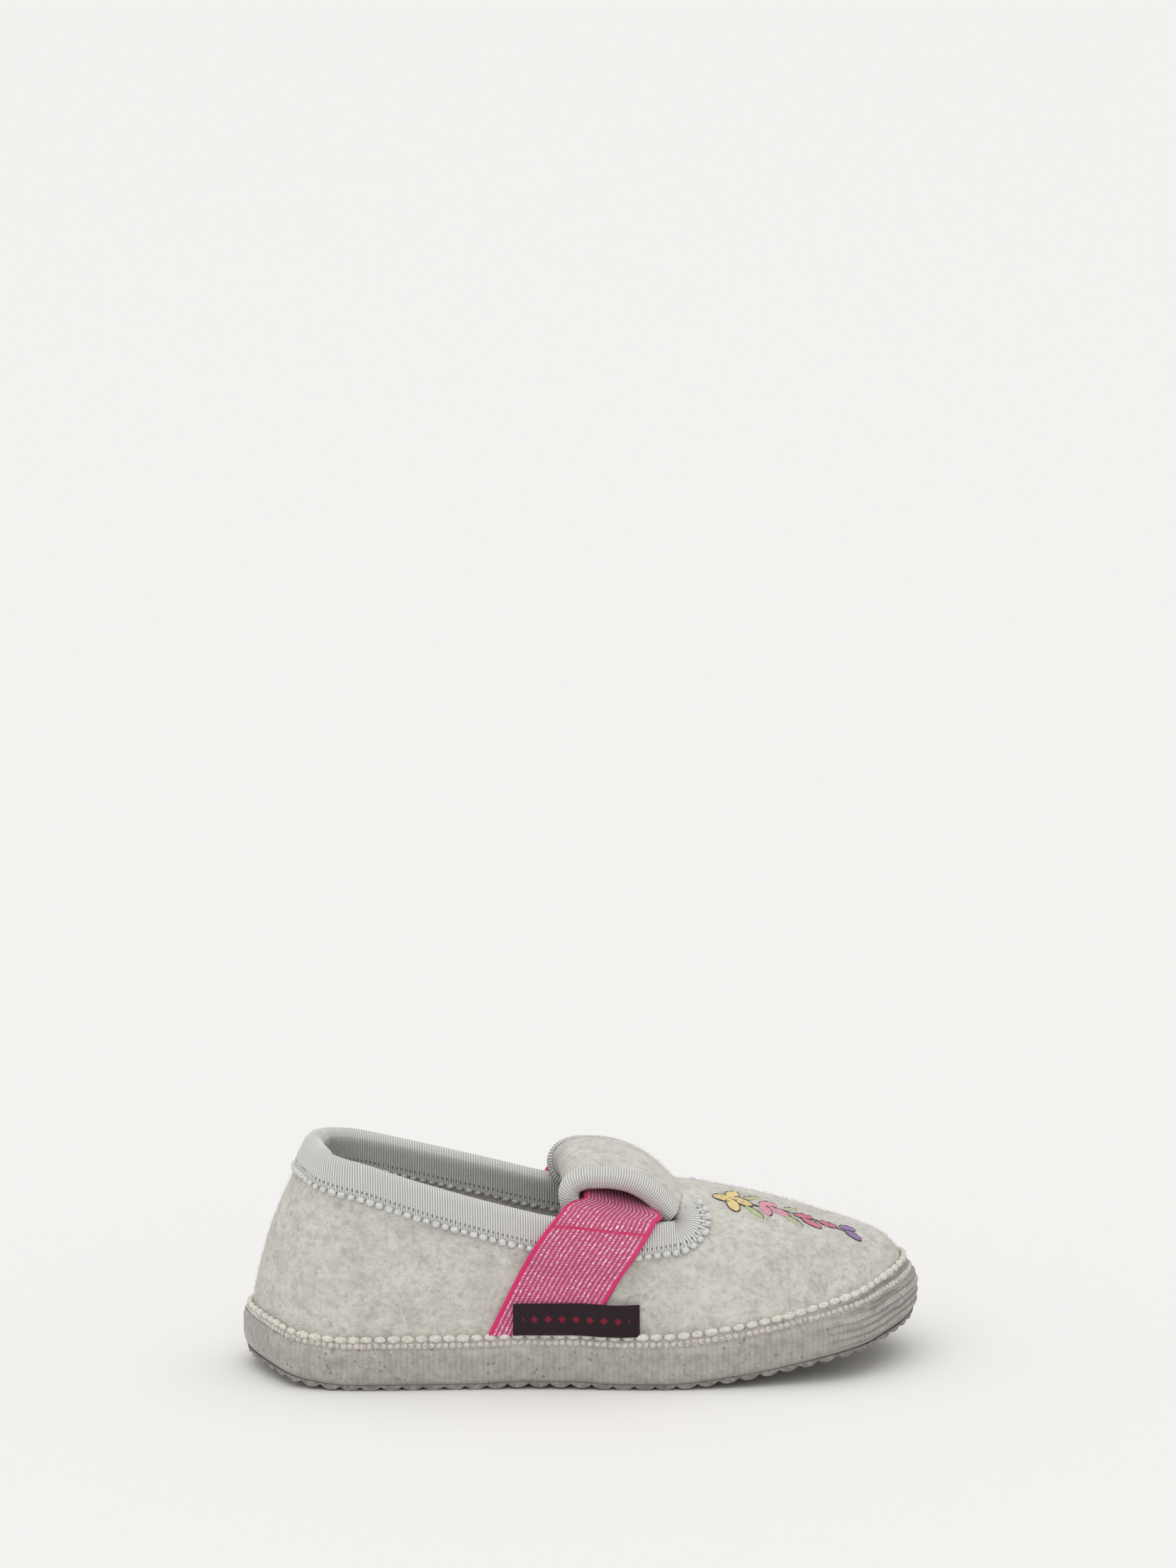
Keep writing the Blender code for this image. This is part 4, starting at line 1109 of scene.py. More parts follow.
def tape_skin(surface, edge, run, reach, side, wraps=True):
    """Rings of a ribbed tape over a felt edge, with their map of lengths.

    A ring goes down the outer leaf, round the felt's edge as half an ellipse, and down the inner leaf,
    then back against the felt. Ribs lift the outside by a cosine of the running length.
    """
    along, arc, angle = edge.T

    def at(depth):
        return along + depth * np.cos(angle), arc + depth * np.sin(angle)

    rim = surface(along, arc)
    rim_normal = facing(surface, along, arc, side)
    inward = unit(surface(*at(0.001)) - rim)

    def leaf(depth, height):
        if depth <= 0:
            return rim + depth * inward + height[:, None] * rim_normal
        a, b = at(depth)
        return surface(a, b) + height[:, None] * facing(surface, a, b, side)

    still = np.zeros(len(along))
    rib = RIB_DEPTH * (0.5 + 0.5 * np.cos(2 * math.pi * run / RIB_PITCH))
    outer = SEAM_GAP + TAPE
    half = FELT / 2 + SEAM_GAP + TAPE * 0.9
    bulge = outer + 0.0004
    rings = []
    lengths = []
    for share in np.linspace(1, 0, 7):
        thin = 1 - 0.5 * share ** 4
        rings.append(leaf(reach * share, outer * thin + rib * (0.25 if share == 1 else 1)))
        lengths.append(reach * share)
    for turn in np.radians(np.linspace(65, -65, 7)):
        rings.append(leaf(-bulge * math.cos(turn), half * math.sin(turn) + rib * math.sin(turn) - FELT / 2)
                     - rib[:, None] * math.cos(turn) * inward)
        lengths.append(-0.0008 + 0.001 * math.sin(turn))
    if wraps:
        for share in np.linspace(0, 1, 7):
            rings.append(leaf(reach * share, -FELT - outer - rib))
            lengths.append(reach * share)
        rings.append(leaf(reach, still - FELT - SEAM_GAP / 2))
        lengths.append(reach)
        rings.append(leaf(-SEAM_GAP, still - FELT - SEAM_GAP / 2))
    else:
        rings.append(leaf(-SEAM_GAP, still - FELT))
    lengths.append(0.0)
    rings.append(leaf(-SEAM_GAP, still + SEAM_GAP / 2))
    lengths.append(0.0)
    rings.append(leaf(reach, still + SEAM_GAP / 2))
    lengths.append(reach)
    return np.stack(rings, axis=1), np.array(lengths)


def build_tape(name, rings, lengths, run, material, node):
    """A tape's mesh with its map: running length and distance from the felt's edge."""
    return tube_piece(name, rings, (run[:, None], lengths), material, node, 75)


def collar_edge(side):
    """Rows of the collar's edge along one quarter and round the notch: along, arc and angle into the felt."""
    turn = NOTCH_GAP / 2
    end = station_of(THROAT_ALONG - turn)
    stations = spread((0, HEEL_SHARE, end), (89, 159))
    edge = np.stack((along_of(stations), topline_arc(stations, side), np.full(len(stations), -math.pi / 2)), 1)
    angle = np.radians(np.linspace(-90, NOTCH_TAPE_END[side], 40))[1:]
    centre_arc = THROAT_EDGE[side][0] + turn
    notch = np.stack((THROAT_ALONG - turn + turn * np.cos(angle), centre_arc + turn * np.sin(angle), angle), 1)
    return np.concatenate((edge, notch))


def build_collar(material, bead_material):
    """The collar's ribbed tape from notch to notch round the heel, with a row of beads on each of its edges."""
    rings = {}
    runs = {}
    rows = []
    reach = TAPE_REACH + GAP
    for side in (-1, 1):
        surface = partial(felt, side=side)
        edge, runs[side] = even_edge(collar_edge(side), surface, RIB_PITCH / 5, TAPE_REACH / 2)
        rings[side], lengths = tape_skin(surface, edge, runs[side], TAPE_REACH, side)
        bead_edge, _ = even_edge(collar_edge(side), surface, COLLAR_BEAD_PITCH, TAPE_REACH)
        along, arc, angle = bead_edge.T
        face, normal = felt_face(along + reach * np.cos(angle), arc + reach * np.sin(angle), side)
        for height in (SEAM_GAP + 0.4 * TAPE, -FELT - SEAM_GAP - 0.4 * TAPE):
            rows.append(bead_row(face + height * normal, normal * np.sign(height)))
    miss = (rings[1][0] - rings[-1][0]) / 2
    for side in (-1, 1):
        ease = np.clip(1 - runs[side] / HEEL_JOIN, 0, 1) ** 2
        rings[side] = rings[side] - side * ease[:, None, None] * miss
    both = np.concatenate((rings[-1][::-1], rings[1][1:]))
    run = np.concatenate((-runs[-1][::-1], runs[1][1:]))
    build_tape("collar_tape", both, lengths, run, material, "collar_binding")
    sizes = (COLLAR_BEAD_PITCH * 0.46, 0.00085, 0.00072)
    random = np.random.default_rng(5)
    build_beads("collar_beads", rows, sizes, (0.86, 1.12), random, bead_material)


def build_loop_tape(name, side, material):
    """Ribbed tape on one side edge of the tongue loop, from its root round the fold."""
    _, low, high = THROAT_EDGE[side]
    half = high - low

    def surface(way, arc):
        return loop_face(way, side * arc / half)

    ways = np.linspace(0.0012, LOOP_ARC[-1] * 0.98, 200)
    edge = np.stack((ways, np.full(len(ways), half), np.full(len(ways), -math.pi / 2)), axis=1)
    edge, run = even_edge(edge, surface, RIB_PITCH / 5, 0.001)
    rings, lengths = tape_skin(surface, edge, run, LOOP_TAPE_REACH, side, wraps=False)
    return build_tape(name, rings, lengths, run, material, name.replace("tape", "binding"))


# The elastic strap and the side label

def strap_paths(along, side):
    """Dense middle lines of the strap across the slipper at each along, from the seam to the crown."""
    station = station_of(along)
    seam = arc_at_height(station, side, foxing_top(station) + GAP)
    top = topline_arc(station, side)
    low = GAP + STRAP_THICKNESS / 2
    high = SEAM_GAP + TAPE + STRAP_GAP + STRAP_THICKNESS / 2
    points = []
    for share in np.linspace(0, 1, 16):
        arc = seam + (top - seam) * share
        lift = eased((arc - (top - 1.9 * TAPE_REACH)) / (0.8 * TAPE_REACH))
        face, normal = felt_face(along, arc, side)
        points.append(face + (low + (high - low) * lift)[:, None] * normal)
    climb = unit((points[-1] - points[-2]) * (0, 1, 1))
    peak = STRAP_CROWN - STRAP_TILT * (along - STRAP_RUN[-1][1] * LENGTH)
    crown_point = np.column_stack((along, np.zeros_like(along), peak))
    start = points[-1]
    outward = np.column_stack((np.zeros_like(along), np.full_like(along, side), np.zeros_like(along)))
    forward = np.clip(along / STRAP_WIDTH, 0, 1)[:, None]
    first = start + climb * (STRAP_SHOULDER[0] + (STRAP_SHOULDER[1] - STRAP_SHOULDER[0]) * forward)
    second = crown_point + outward * (STRAP_FLAT[0] + (STRAP_FLAT[1] - STRAP_FLAT[0]) * forward)
    for t in np.linspace(0, 1, 25)[1:]:
        points.append(start * (1 - t) ** 3 + 3 * first * t * (1 - t) ** 2
                      + 3 * second * t * t * (1 - t) + crown_point * t ** 3)
    stack = np.stack(points, axis=1)
    return stack, arc_lengths(stack)


class StrapSheet:
    """Middle surface of the strap on one side, read by along and by the share of the way to its crown."""

    def __init__(self, side):
        self.low = -0.031
        self.high = 0.024
        self.rows = 111
        self.columns = 181
        stack, arc = strap_paths(np.linspace(self.low, self.high, self.rows), side)
        self.length = arc[:, -1]
        ways = np.linspace(0, 1, self.columns)
        self.table = np.stack([pick(stack, arc, self.length * way) for way in ways], axis=1)

    def at(self, along, way):
        """Point between the four nearest ones of the table."""
        i = np.clip((along - self.low) / (self.high - self.low) * (self.rows - 1), 0, self.rows - 1.001)
        j = np.clip(way * (self.columns - 1), 0, self.columns - 1.001)
        a, b = i.astype(int), j.astype(int)
        s, t = (i - a)[:, None], (j - b)[:, None]
        table = self.table
        return ((table[a, b] * (1 - s) + table[a + 1, b] * s) * (1 - t)
                + (table[a, b + 1] * (1 - s) + table[a + 1, b + 1] * s) * t)


def build_strap(material):
    """The elastic from seam to seam: rounded corded edges, and ribs along it as a cosine across."""
    ways = np.linspace(0, 1, 170)
    shares = np.linspace(-0.5, 0.5, 57)
    halves = []
    for side in (-1, 1):
        sheet = StrapSheet(side)
        middle = smooth(ways, STRAP_RUN) * LENGTH
        length = np.interp(middle, np.linspace(sheet.low, sheet.high, sheet.rows), sheet.length)
        slant = np.gradient(middle, ways) / length
        width = STRAP_WIDTH * smooth(ways, STRAP_RUN, 2) * np.sqrt(1 + slant ** 2)
        columns = []
        for share in shares:
            along = middle + share * width
            centre = sheet.at(along, ways)
            run = sheet.at(along + 0.0004, ways) - sheet.at(along - 0.0004, ways)
            climb = sheet.at(along, np.minimum(ways + 0.004, 1)) - sheet.at(along, ways - 0.004)
            normal = unit(np.cross(run, climb) * -side)
            normal[-1] = (run[-1][2] * -1, 0, run[-1][0]) / np.hypot(run[-1][0], run[-1][2])
            columns.append((centre, normal))
        halves.append((columns, ways * length.mean()))
    across = shares * STRAP_WIDTH
    from_edge = STRAP_WIDTH / 2 - np.abs(across)
    cord = np.sqrt(np.clip(1 - (1 - np.clip(from_edge / STRAP_EDGE_CORD, 0, 1)) ** 2, 0.02, 1))
    rib = STRAP_RIB_DEPTH * np.cos(2 * math.pi * across / STRAP_RIB_PITCH)
    swell = STRAP_CORD_SWELL * np.exp(-((from_edge - STRAP_EDGE_CORD * 0.5) / (STRAP_EDGE_CORD * 0.5)) ** 2)
    thick = (STRAP_THICKNESS / 2 + rib + swell) * cord
    rings = []
    lengths = []
    for (columns, run), order, sign in ((halves[0], slice(None), 1), (halves[1], slice(-2, None, -1), -1)):
        top = np.stack([c + n * h for (c, n), h in zip(columns, thick)], axis=1)[order]
        under = np.stack([c - n * h for (c, n), h in zip(columns, thick)], axis=1)[order]
        rings.append(np.concatenate((top, under[:, ::-1]), axis=1))
        lengths.append(run[order] if sign > 0 else 2 * halves[1][1][-1] - run[order])
    rings = np.concatenate(rings)
    run = np.concatenate(lengths)
    section = np.concatenate((across, across[::-1]))
    return tube_piece("strap_elastic", rings, (section, run[:, None]), material, "strap", 75)


def build_label(material):
    """The woven flag over the strap's foot: it stands off the strap and eases down to the felt in front."""
    side = -1
    share_along = np.linspace(-0.5, 0.5, 80)
    along = share_along * LABEL_LENGTH + LABEL_ALONG
    station = station_of(along)
    seam = arc_at_height(station, side, foxing_top(station) + GAP)
    over = GAP + STRAP_THICKNESS + GAP + LABEL_THICKNESS / 2
    beside = GAP + LABEL_THICKNESS
    strap_front = STRAP_RUN[1][1] * LENGTH + STRAP_WIDTH / 2
    stand = over + (beside - over) * eased((along - strap_front) / LABEL_FALL)
    shares_up = np.linspace(0, 1, 24)
    front = []
    back = []
    for share in shares_up:
        face, normal = felt_face(along, seam + LABEL_HEIGHT * share, side)
        ripple = LABEL_RIPPLE * np.sin(share_along * 17 + 2 * share)
        middle = face + (stand + ripple)[:, None] * normal
        front.append(middle + LABEL_THICKNESS / 2 * normal)
        back.append(middle - LABEL_THICKNESS / 2 * normal)
    rings = np.stack(front + back[::-1], axis=1)
    up = LABEL_HEIGHT * np.concatenate((shares_up, shares_up[::-1]))
    lengths = ((share_along * LABEL_LENGTH)[:, None], up)
    return tube_piece("side_label", rings, lengths, material, "label", 50)


# The sole, its band and the edging over it

RIM_STATION = np.linspace(0, 1, 1200)
RIM_RUN = running_length(FOXING_PLAN.at(RIM_STATION, -1)[0])


def around(count):
    """Stations of one side that lie evenly along the sole's outline."""
    return np.interp(np.linspace(0, RIM_RUN[-1], count), RIM_RUN, RIM_STATION)


def band_face(stations, share, side):
    """The felt's face and normals at a share of the stitched band's height, at each station."""
    return felt_face(along_of(stations), arc_at_height(stations, side, foxing_top(stations, share)), side)


def build_foxing(material):
    """The dipped band: its side profile carried round the sole, with the thin stitched band above it.

    Shallow waves run along it, deeper at the toe, where the band is folded in fine steps.
    """
    stations = around(330)
    profile = np.linspace(FOXING_SIDE[0][0], FOXING_SIDE[-1][0], 24)
    halves = []
    maps = []
    for side in (-1, 1):
        rim, _ = FOXING_PLAN.at(stations, side)
        base = underside(rim[:, 0])
        run = running_length(rim)
        toe = np.clip((rim[:, 0] - FOLD_START) / FOLD_SPAN, 0, 1)
        ring = []
        heights = []
        for height in profile:
            inset = float(smooth(height, FOXING_SIDE)) * FOXING
            point, _ = Plan(max(inset, 0.00015)).at(stations, side)
            steps = FOLD_DEPTH * (0.2 + 1.6 * toe) * np.sin(height * 26 + 0.7 * np.sin(run * 120))
            out = unit(point - FELT_PLAN.at(stations, side)[1])
            point = point + (steps - FOLD_DEPTH)[:, None] * out
            ring.append(np.column_stack((point, base + height * FOXING_HEIGHT)))
            heights.append(height * FOXING_HEIGHT)
        for share, stand in ((0.0, 1.0), (0.5, 0.8), (1.0, 0.5), (1.0, 0.0), (0.0, 0.0)):
            face, normal = band_face(stations, share, side)
            ring.append(face + (GAP + STITCH_THICKNESS * stand) * normal)
            heights.append(FOXING_HEIGHT + share * STITCH_BAND)
        inner, _ = Plan(FOXING).at(stations, side)
        for height in (0.4, 0.12):
            ring.append(np.column_stack((inner, base + height * FOXING_HEIGHT)))
            heights.append(0.0)
        halves.append(np.stack(ring, axis=1))
        run *= SIDE_RUN / run[-1]
        maps.append(np.stack(np.broadcast_arrays(run[:, None], np.array(heights)[None, :]), axis=2))
    rows = np.concatenate((halves[0], halves[1][-2:0:-1]))
    uv = np.concatenate((maps[0], maps[1][-2:0:-1]))
    faces = grid_faces(rows.shape[0], rows.shape[1], wrap_rows=True, wrap_columns=True)
    return make_piece("foxing_band", rows.reshape(-1, 3), faces, material, "foxing",
                      uv=uv.reshape(-1, 2), sharp=80)


def edging_rows(pitch, share, stand):
    """Rows of beads at one pitch round the stitched band, at a share of its height, on both sides."""
    count = int(round(RIM_RUN[-1] / pitch))
    stations = around(2 * count + 1)[1::2]
    rows = []
    for side in (-1, 1):
        face, normal = band_face(stations, share, side)
        rows.append(bead_row(face + stand * normal, normal))
    return rows


def build_edging(pale, grey):
    """Double row of knotted beads over the stitched band: large ones on its top edge, smaller ones below."""
    random = np.random.default_rng(11)
    rows = edging_rows(EDGING_BEAD_PITCH, 1.02, GAP + STITCH_THICKNESS * 0.45)
    sizes = (EDGING_BEAD_PITCH * 0.53, 0.00100, 0.00080)
    build_beads("edging_beads", rows, sizes, (0.88, 1.08), random, pale)
    rows = edging_rows(BACKING_BEAD_PITCH, 0.36, GAP + STITCH_THICKNESS * 0.75)
    sizes = (BACKING_BEAD_PITCH * 0.52, 0.00088, 0.00060)
    build_beads("edging_backing", rows, sizes, (0.85, 1.12), random, grey)


def level(height):
    """Ring heights at one distance above the sole's underside."""
    return lambda run, x: underside(x) + height


def layered_slab(name, count, rings, material, node, sharp):
    """Closed slab of the sole's outline, from rings that run from one face out round the edge to the other.

    Each ring is an inset and a function of the stations and x that gives its heights.
    """
    stations = around(count)
    run = running_length(FOXING_PLAN.at(stations, -1)[0])
    loops = []
    for inset, height in rings:
        halves = []
        for side in (-1, 1):
            rim, _ = Plan(inset).at(stations, side)
            halves.append(np.column_stack((rim, height(run, rim[:, 0]))))
        loops.append(np.concatenate((halves[0], halves[1][-2:0:-1])))
    points = np.concatenate(loops)
    total = len(loops[0])
    faces = [grid_faces(len(loops), total, wrap_columns=True)]
    i = np.arange(1, count - 2)
    cap = np.stack((i, i + 1, total - i - 1, total - i), axis=1)
    tips = np.array(((0, 1, total - 1), (count - 2, count - 1, count)))
    shift = (len(loops) - 1) * total
    faces += [cap, cap[:, ::-1] + shift, tips, tips[:, ::-1] + shift]
    return make_piece(name, points, faces, material, node, sharp=sharp)


def build_outsole(material):
    """Rubber sole: flat top, rounded lugs round the rim, a groove, and a tread of rounded bars across."""
    edge = FOXING + SOLE_GAP * 0.6

    def lug(run, x):
        return underside(x) + LUG_HEIGHT * (1 - np.abs(np.cos(math.pi * run / LUG_PITCH)) ** 0.7)

    def bar(run, x):
        return underside(x) + LUG_HEIGHT * np.clip(1.6 * np.cos(2 * math.pi * x / TREAD_PITCH) - 0.5, 0, 1)

    inner = edge + RIM_LUG_WIDTH
    rings = (
        (edge, level(OUTSOLE)),
        (edge, level(LUG_HEIGHT + GAP)),
        (edge * 0.55, level(LUG_HEIGHT + GAP)),
        (edge * 0.50, level(LUG_HEIGHT + 0.5 * GAP)),
        (edge * 0.62, lug),
        (edge * 1.10, lug),
        (inner, lug),
        (inner + GAP, level(LUG_HEIGHT)),
        (inner + GROOVE, level(LUG_HEIGHT)),
        (inner + GROOVE + GAP, bar),
    )
    return layered_slab("outsole_rubber", 520, rings, material, "outsole", 50)


def build_insole(material):
    """Felt sock that lies on the sole inside the upper, with a soft rounded edge."""
    low = OUTSOLE + GAP
    high = low + INSOLE_FELT
    edge = FOXING + GAP + FELT + SEAM_GAP
    rings = (
        (edge, level(low)),
        (edge, level(high - INSOLE_FELT * 0.35)),
        (edge + INSOLE_FELT * 0.12, level(high - INSOLE_FELT * 0.10)),
        (edge + INSOLE_FELT * 0.40, level(high)),
        (edge + 0.004, level(high)),
    )
    return layered_slab("insole_felt", 180, rings, material, "insole", 60)


# Embroidery on the toe: a sprig of flowers in satin stitch

def ribbon(name, lines, width, lift, material):
    """Stitches as raised ribbons over the felt: each line of plan points gets a rounded strip of thread."""
    lines = np.asarray(lines, dtype=float)
    count, steps, _ = lines.shape
    way = np.gradient(lines, axis=1)
    way /= np.maximum(np.linalg.norm(way, axis=2), 1e-9)[..., None]
    beside = np.stack((-way[..., 1], way[..., 0]), axis=2)
    end = np.sin(math.pi * np.linspace(0.06, 0.94, steps)) ** 0.4
    rings = []
    for across, height in ((-0.5, 0.0), (-0.3, 0.75), (0.0, 1.0), (0.3, 0.75), (0.5, 0.0), (0.0, -0.6)):
        plan = lines + beside * (across * width)
        point = felt_over(plan[..., 0].ravel(), plan[..., 1].ravel()).reshape(count, steps, 3)
        point[..., 2] += lift * height * end + 0.00003
        rings.append(point)
    points = np.stack(rings, axis=2).reshape(-1, 3)
    caps = np.array(((0, 1, 5), (1, 2, 5), (2, 3, 5), (3, 4, 5)))
    ends = np.concatenate((caps, caps[:, ::-1] + (steps - 1) * 6))
    faces = [copies(one, count, steps * 6) for one in (grid_faces(steps, 6, wrap_columns=True), ends)]
    return make_piece(name, points, faces, material, sharp=70)


def turned(middle, turn, x, y):
    """Plan points at x and y from a middle, turned by an angle in degrees."""
    c, s = math.cos(math.radians(turn)), math.sin(math.radians(turn))
    return np.stack((middle[0] + c * x - s * y, middle[1] + s * x + c * y), axis=-1)


def satin_patch(middle, length, width, turn):
    """Lines of satin stitch that fill a leaf or petal, laid across its length, which points at an angle."""
    at = np.linspace(-0.5, 0.5, int(length / STITCH_PITCH))[:, None]
    half = width / 2 * np.sqrt(np.clip(1 - (2 * at) ** 2, 0.03, 1))
    return turned(middle, turn, at * length, half * np.linspace(-1, 1, 6))


# Sprig on the toe: pieces with their place, size and turn, in metres and degrees
SPRIG = (
    # thread     x       y        length  width   turn
    ("yellow",   0.0350, -0.0080, 0.0060, 0.0034,   10),
    ("yellow",   0.0372, -0.0052, 0.0056, 0.0032,   70),
    ("yellow",   0.0392, -0.0082, 0.0056, 0.0032,  -28),
    ("yellow",   0.0368, -0.0108, 0.0052, 0.0030,  -80),
    ("pink",     0.0462, -0.0062, 0.0052, 0.0030,   35),
    ("pink",     0.0486, -0.0092, 0.0052, 0.0030,  -20),
    ("pink",     0.0450, -0.0100, 0.0048, 0.0028,  -75),
    ("rose",     0.0548, -0.0076, 0.0050, 0.0028,   25),
    ("rose",     0.0566, -0.0104, 0.0048, 0.0026,  -22),
    ("rose",     0.0610, -0.0080, 0.0044, 0.0024,    0),
    ("violet",   0.0660, -0.0068, 0.0040, 0.0022,   20),
    ("violet",   0.0672, -0.0092, 0.0038, 0.0020,  -15),
    ("green",    0.0420, -0.0048, 0.0052, 0.0018,   40),
    ("green",    0.0420, -0.0122, 0.0050, 0.0018,  -42),
    ("green",    0.0520, -0.0122, 0.0046, 0.0016,  -38),
    ("green",    0.0520, -0.0046, 0.0044, 0.0016,   42),
)


def build_sprig(threads):
    """The toe's sprig: a stem of back stitch, petals and leaves in satin stitch, and dark outlines."""
    for colour in ("yellow", "pink", "rose", "violet", "green"):
        lines = [satin_patch((x, y), *sizes) for name, x, y, *sizes in SPRIG if name == colour]
        ribbon("sprig_" + colour, np.concatenate(lines), STITCH_WIDTH, STITCH_LIFT, threads[colour])
    outlines = []
    angle = np.linspace(0, 2 * math.pi, 15)
    for name, x, y, length, width, turn in SPRIG:
        ring_x = np.cos(angle) * (length / 2 + OUTLINE_MARGIN)
        ring_y = np.sin(angle) * (width / 2 + OUTLINE_MARGIN)
        ring = turned((x, y), turn, ring_x, ring_y)
        outlines += [ring[i:i + 3] for i in range(0, 13, 2) if name in ("yellow", "violet", "rose") or i < 6]
    stem_x = np.linspace(0.0330, 0.0650, 25)
    stem = np.stack((stem_x, -0.0082 + 0.0008 * np.sin(stem_x * 260)), axis=1)
    outlines += [stem[i:i + 3] for i in range(0, 23, 2)]
    ribbon("sprig_outline", np.array(outlines), STITCH_WIDTH * 0.62, STITCH_LIFT * 1.1, threads["dark"])


def build_nap(material):
    """Loose fibres over the felt: thin curled ribbons of three points that stand up from its outer face."""
    random = np.random.default_rng(31)
    faces = []
    for side in (-1, 1):
        station = random.uniform(0.0, 1.0, NAP_COUNT // 2)
        low = arc_at_height(station, side, foxing_top(station, 1.4))
        top = np.where(station < THROAT_STATION, topline_arc(station, side) - TAPE_REACH - 0.001,
                       section_curves(station, side)[1][:, -1])
        share = random.uniform(0, 1, len(station))
        share = np.where(station > HEEL_SHARE + MID_SHARE, 1 - np.sqrt(share), share)
        faces.append(felt_face(along_of(station), low + (top - low) * share, side))
    way = random.uniform(0.002, LOOP_ARC[-1] * 0.55, LOOP_NAP_COUNT)
    across = random.uniform(-0.86, 0.86, LOOP_NAP_COUNT)
    nudge = 1e-4
    run = loop_face(way + nudge, across) - loop_face(way - nudge, across)
    climb = loop_face(way, across + 0.005) - loop_face(way, across - 0.005)
    faces.append((loop_face(way, across), unit(np.cross(climb, run))))
    root, normal = (np.concatenate(part) for part in zip(*faces))
    lean = square_to(normal, random.normal(size=root.shape))
    length = random.uniform(*NAP_LENGTH, (len(root), 1))
    stand = random.uniform(0.10, 0.65, (len(root), 1))
    wide = np.cross(normal, lean) * NAP_HALF_WIDTH
    middle = root + length * (0.5 * lean + 0.5 * stand * normal)
    tip = middle + length * (0.5 * lean * random.uniform(-0.5, 1, (len(root), 1)) + 0.35 * stand * normal)
    points = np.stack((root - wide, root + wide, middle - wide, middle + wide, tip), axis=1).reshape(-1, 3)
    strips = [copies(np.array([one]), len(root), 5) for one in ((0, 1, 3, 2), (2, 3, 4))]
    return make_piece("felt_nap", points, strips, material, sharp=180, outward=False)


# Camera, floor and light

CAMERA_TURN = math.radians(-5)
CAMERA_RISE = math.radians(14)
CAMERA_DISTANCE = 1.6
CAMERA_TARGET = Vector((0, 0, 0.0285))
FRAME_SIZE = (1659, 2212)
FOCAL_PIXELS = 8989
TARGET_PIXEL = (821, 1759)
SENSOR_SIZE = 36.0
FLOOR_REACH = 40
FLOOR_COLOUR = (0.87, 0.862, 0.848, 1)
WORLD_COLOUR = (1.0, 0.995, 0.99, 1)
WORLD_STRENGTH = 0.68

# Soft distant lights: name, place they shine from, spread in degrees and power
LIGHTS = (
    ("key", (-0.4, -1.0, 1.1), 60, 0.75),
    ("top", (0.2, 0.3, 1.5), 70, 0.60),
)


def place_camera():
    """Camera of the photograph: it looks past the target so that this lands on its pixel, with no roll."""
    back = Vector((math.sin(CAMERA_TURN) * math.cos(CAMERA_RISE),
                   -math.cos(CAMERA_TURN) * math.cos(CAMERA_RISE), math.sin(CAMERA_RISE)))
    right = (-back).cross(Vector((0, 0, 1))).normalized()
    up = right.cross(-back)
    aside = (TARGET_PIXEL[0] - FRAME_SIZE[0] / 2) / FOCAL_PIXELS
    below = (TARGET_PIXEL[1] - FRAME_SIZE[1] / 2) / FOCAL_PIXELS
    forward = -back - aside * right + below * up
    data = bpy.data.cameras.new("camera")
    data.sensor_width = SENSOR_SIZE
    data.lens = FOCAL_PIXELS / FRAME_SIZE[1] * SENSOR_SIZE
    data.clip_start = 0.05
    camera = add_object("camera", data)
    camera.matrix_world = (Matrix.Translation(CAMERA_TARGET + CAMERA_DISTANCE * back)
                           @ forward.to_track_quat("-Z", "Y").to_matrix().to_4x4())
    bpy.context.scene.camera = camera


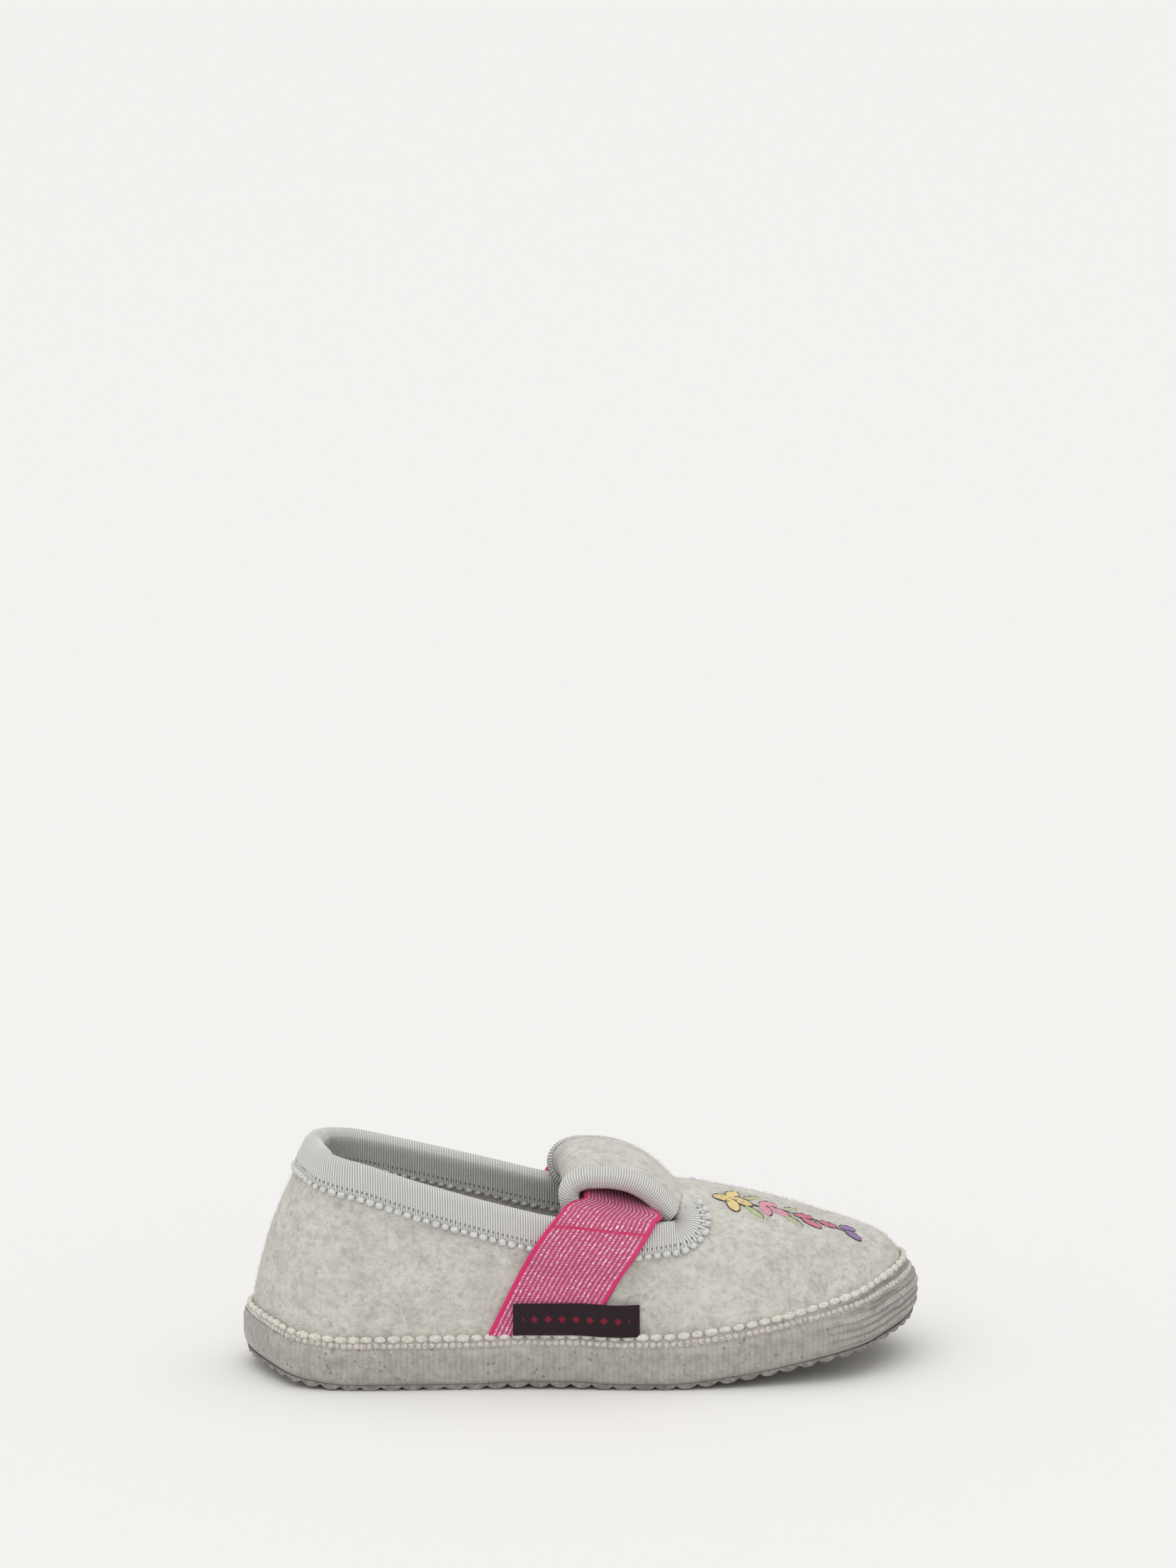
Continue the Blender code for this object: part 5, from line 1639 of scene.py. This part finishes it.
def lamp(name, place, spread, power):
    """Soft distant light from the side of a place, spread over an angle in degrees."""
    data = bpy.data.lights.new(name, "SUN")
    data.angle = math.radians(spread)
    data.energy = power
    light = add_object(name, data)
    place = Vector(place)
    light.matrix_world = Matrix.Translation(place) @ (-place).to_track_quat("-Z", "Y").to_matrix().to_4x4()


def build_stage():
    """Plain pale floor and plain soft light from above, the front and both sides."""
    finish = Finish("pale_floor", Base_Color=FLOOR_COLOUR, Roughness=0.9, Specular_IOR_Level=0.1)
    mesh = bpy.data.meshes.new("floor")
    corners = [(FLOOR_REACH * x, FLOOR_REACH * y, 0) for x, y in ((-1, -1), (1, -1), (1, 1), (-1, 1))]
    mesh.from_pydata(corners, [], [(0, 1, 2, 3)])
    mesh.materials.append(finish.material)
    add_object("floor", mesh)
    world = bpy.data.worlds.new("studio")
    world.use_nodes = True
    backdrop = world.node_tree.nodes["Background"]
    backdrop.inputs["Color"].default_value = WORLD_COLOUR
    backdrop.inputs["Strength"].default_value = WORLD_STRENGTH
    bpy.context.scene.world = world
    for light in LIGHTS:
        lamp(*light)


bpy.context.scene.view_settings.view_transform = "Standard"
place_camera()
build_stage()

felt_cloth = boiled_wool("boiled_wool")
build_upper_felt(felt_cloth)
# The insole's felt is the same felt darkened to 0.9: painted shade for the inside of the slipper.
build_insole(boiled_wool("sock_felt", 0.9))
tape_cloth = ribbed_tape("ribbed_tape")
build_collar(tape_cloth, knit_edging("tape_beads", linear(222, 223, 221), linear(184, 185, 186)))
build_loop_tape("loop_tape_lateral", -1, tape_cloth)
build_loop_tape("loop_tape_medial", 1, tape_cloth)
build_strap(glitter_elastic())
build_label(woven_flag())
build_foxing(dipped_knit())
build_edging(knit_edging("edging_yarn", linear(226, 223, 213), linear(194, 188, 179)),
             knit_edging("backing_yarn", linear(212, 207, 198), linear(166, 160, 152)))
build_outsole(sole_rubber())
build_sprig({
    "yellow": thread("yarn_yellow", (238, 214, 150)),
    "pink": thread("yarn_pink", (226, 160, 178)),
    "rose": thread("yarn_rose", (224, 120, 150)),
    "violet": thread("yarn_violet", (160, 128, 186)),
    "green": thread("yarn_green", (196, 200, 158)),
    "dark": thread("yarn_dark", (74, 60, 62)),
})
build_nap(felt_cloth)
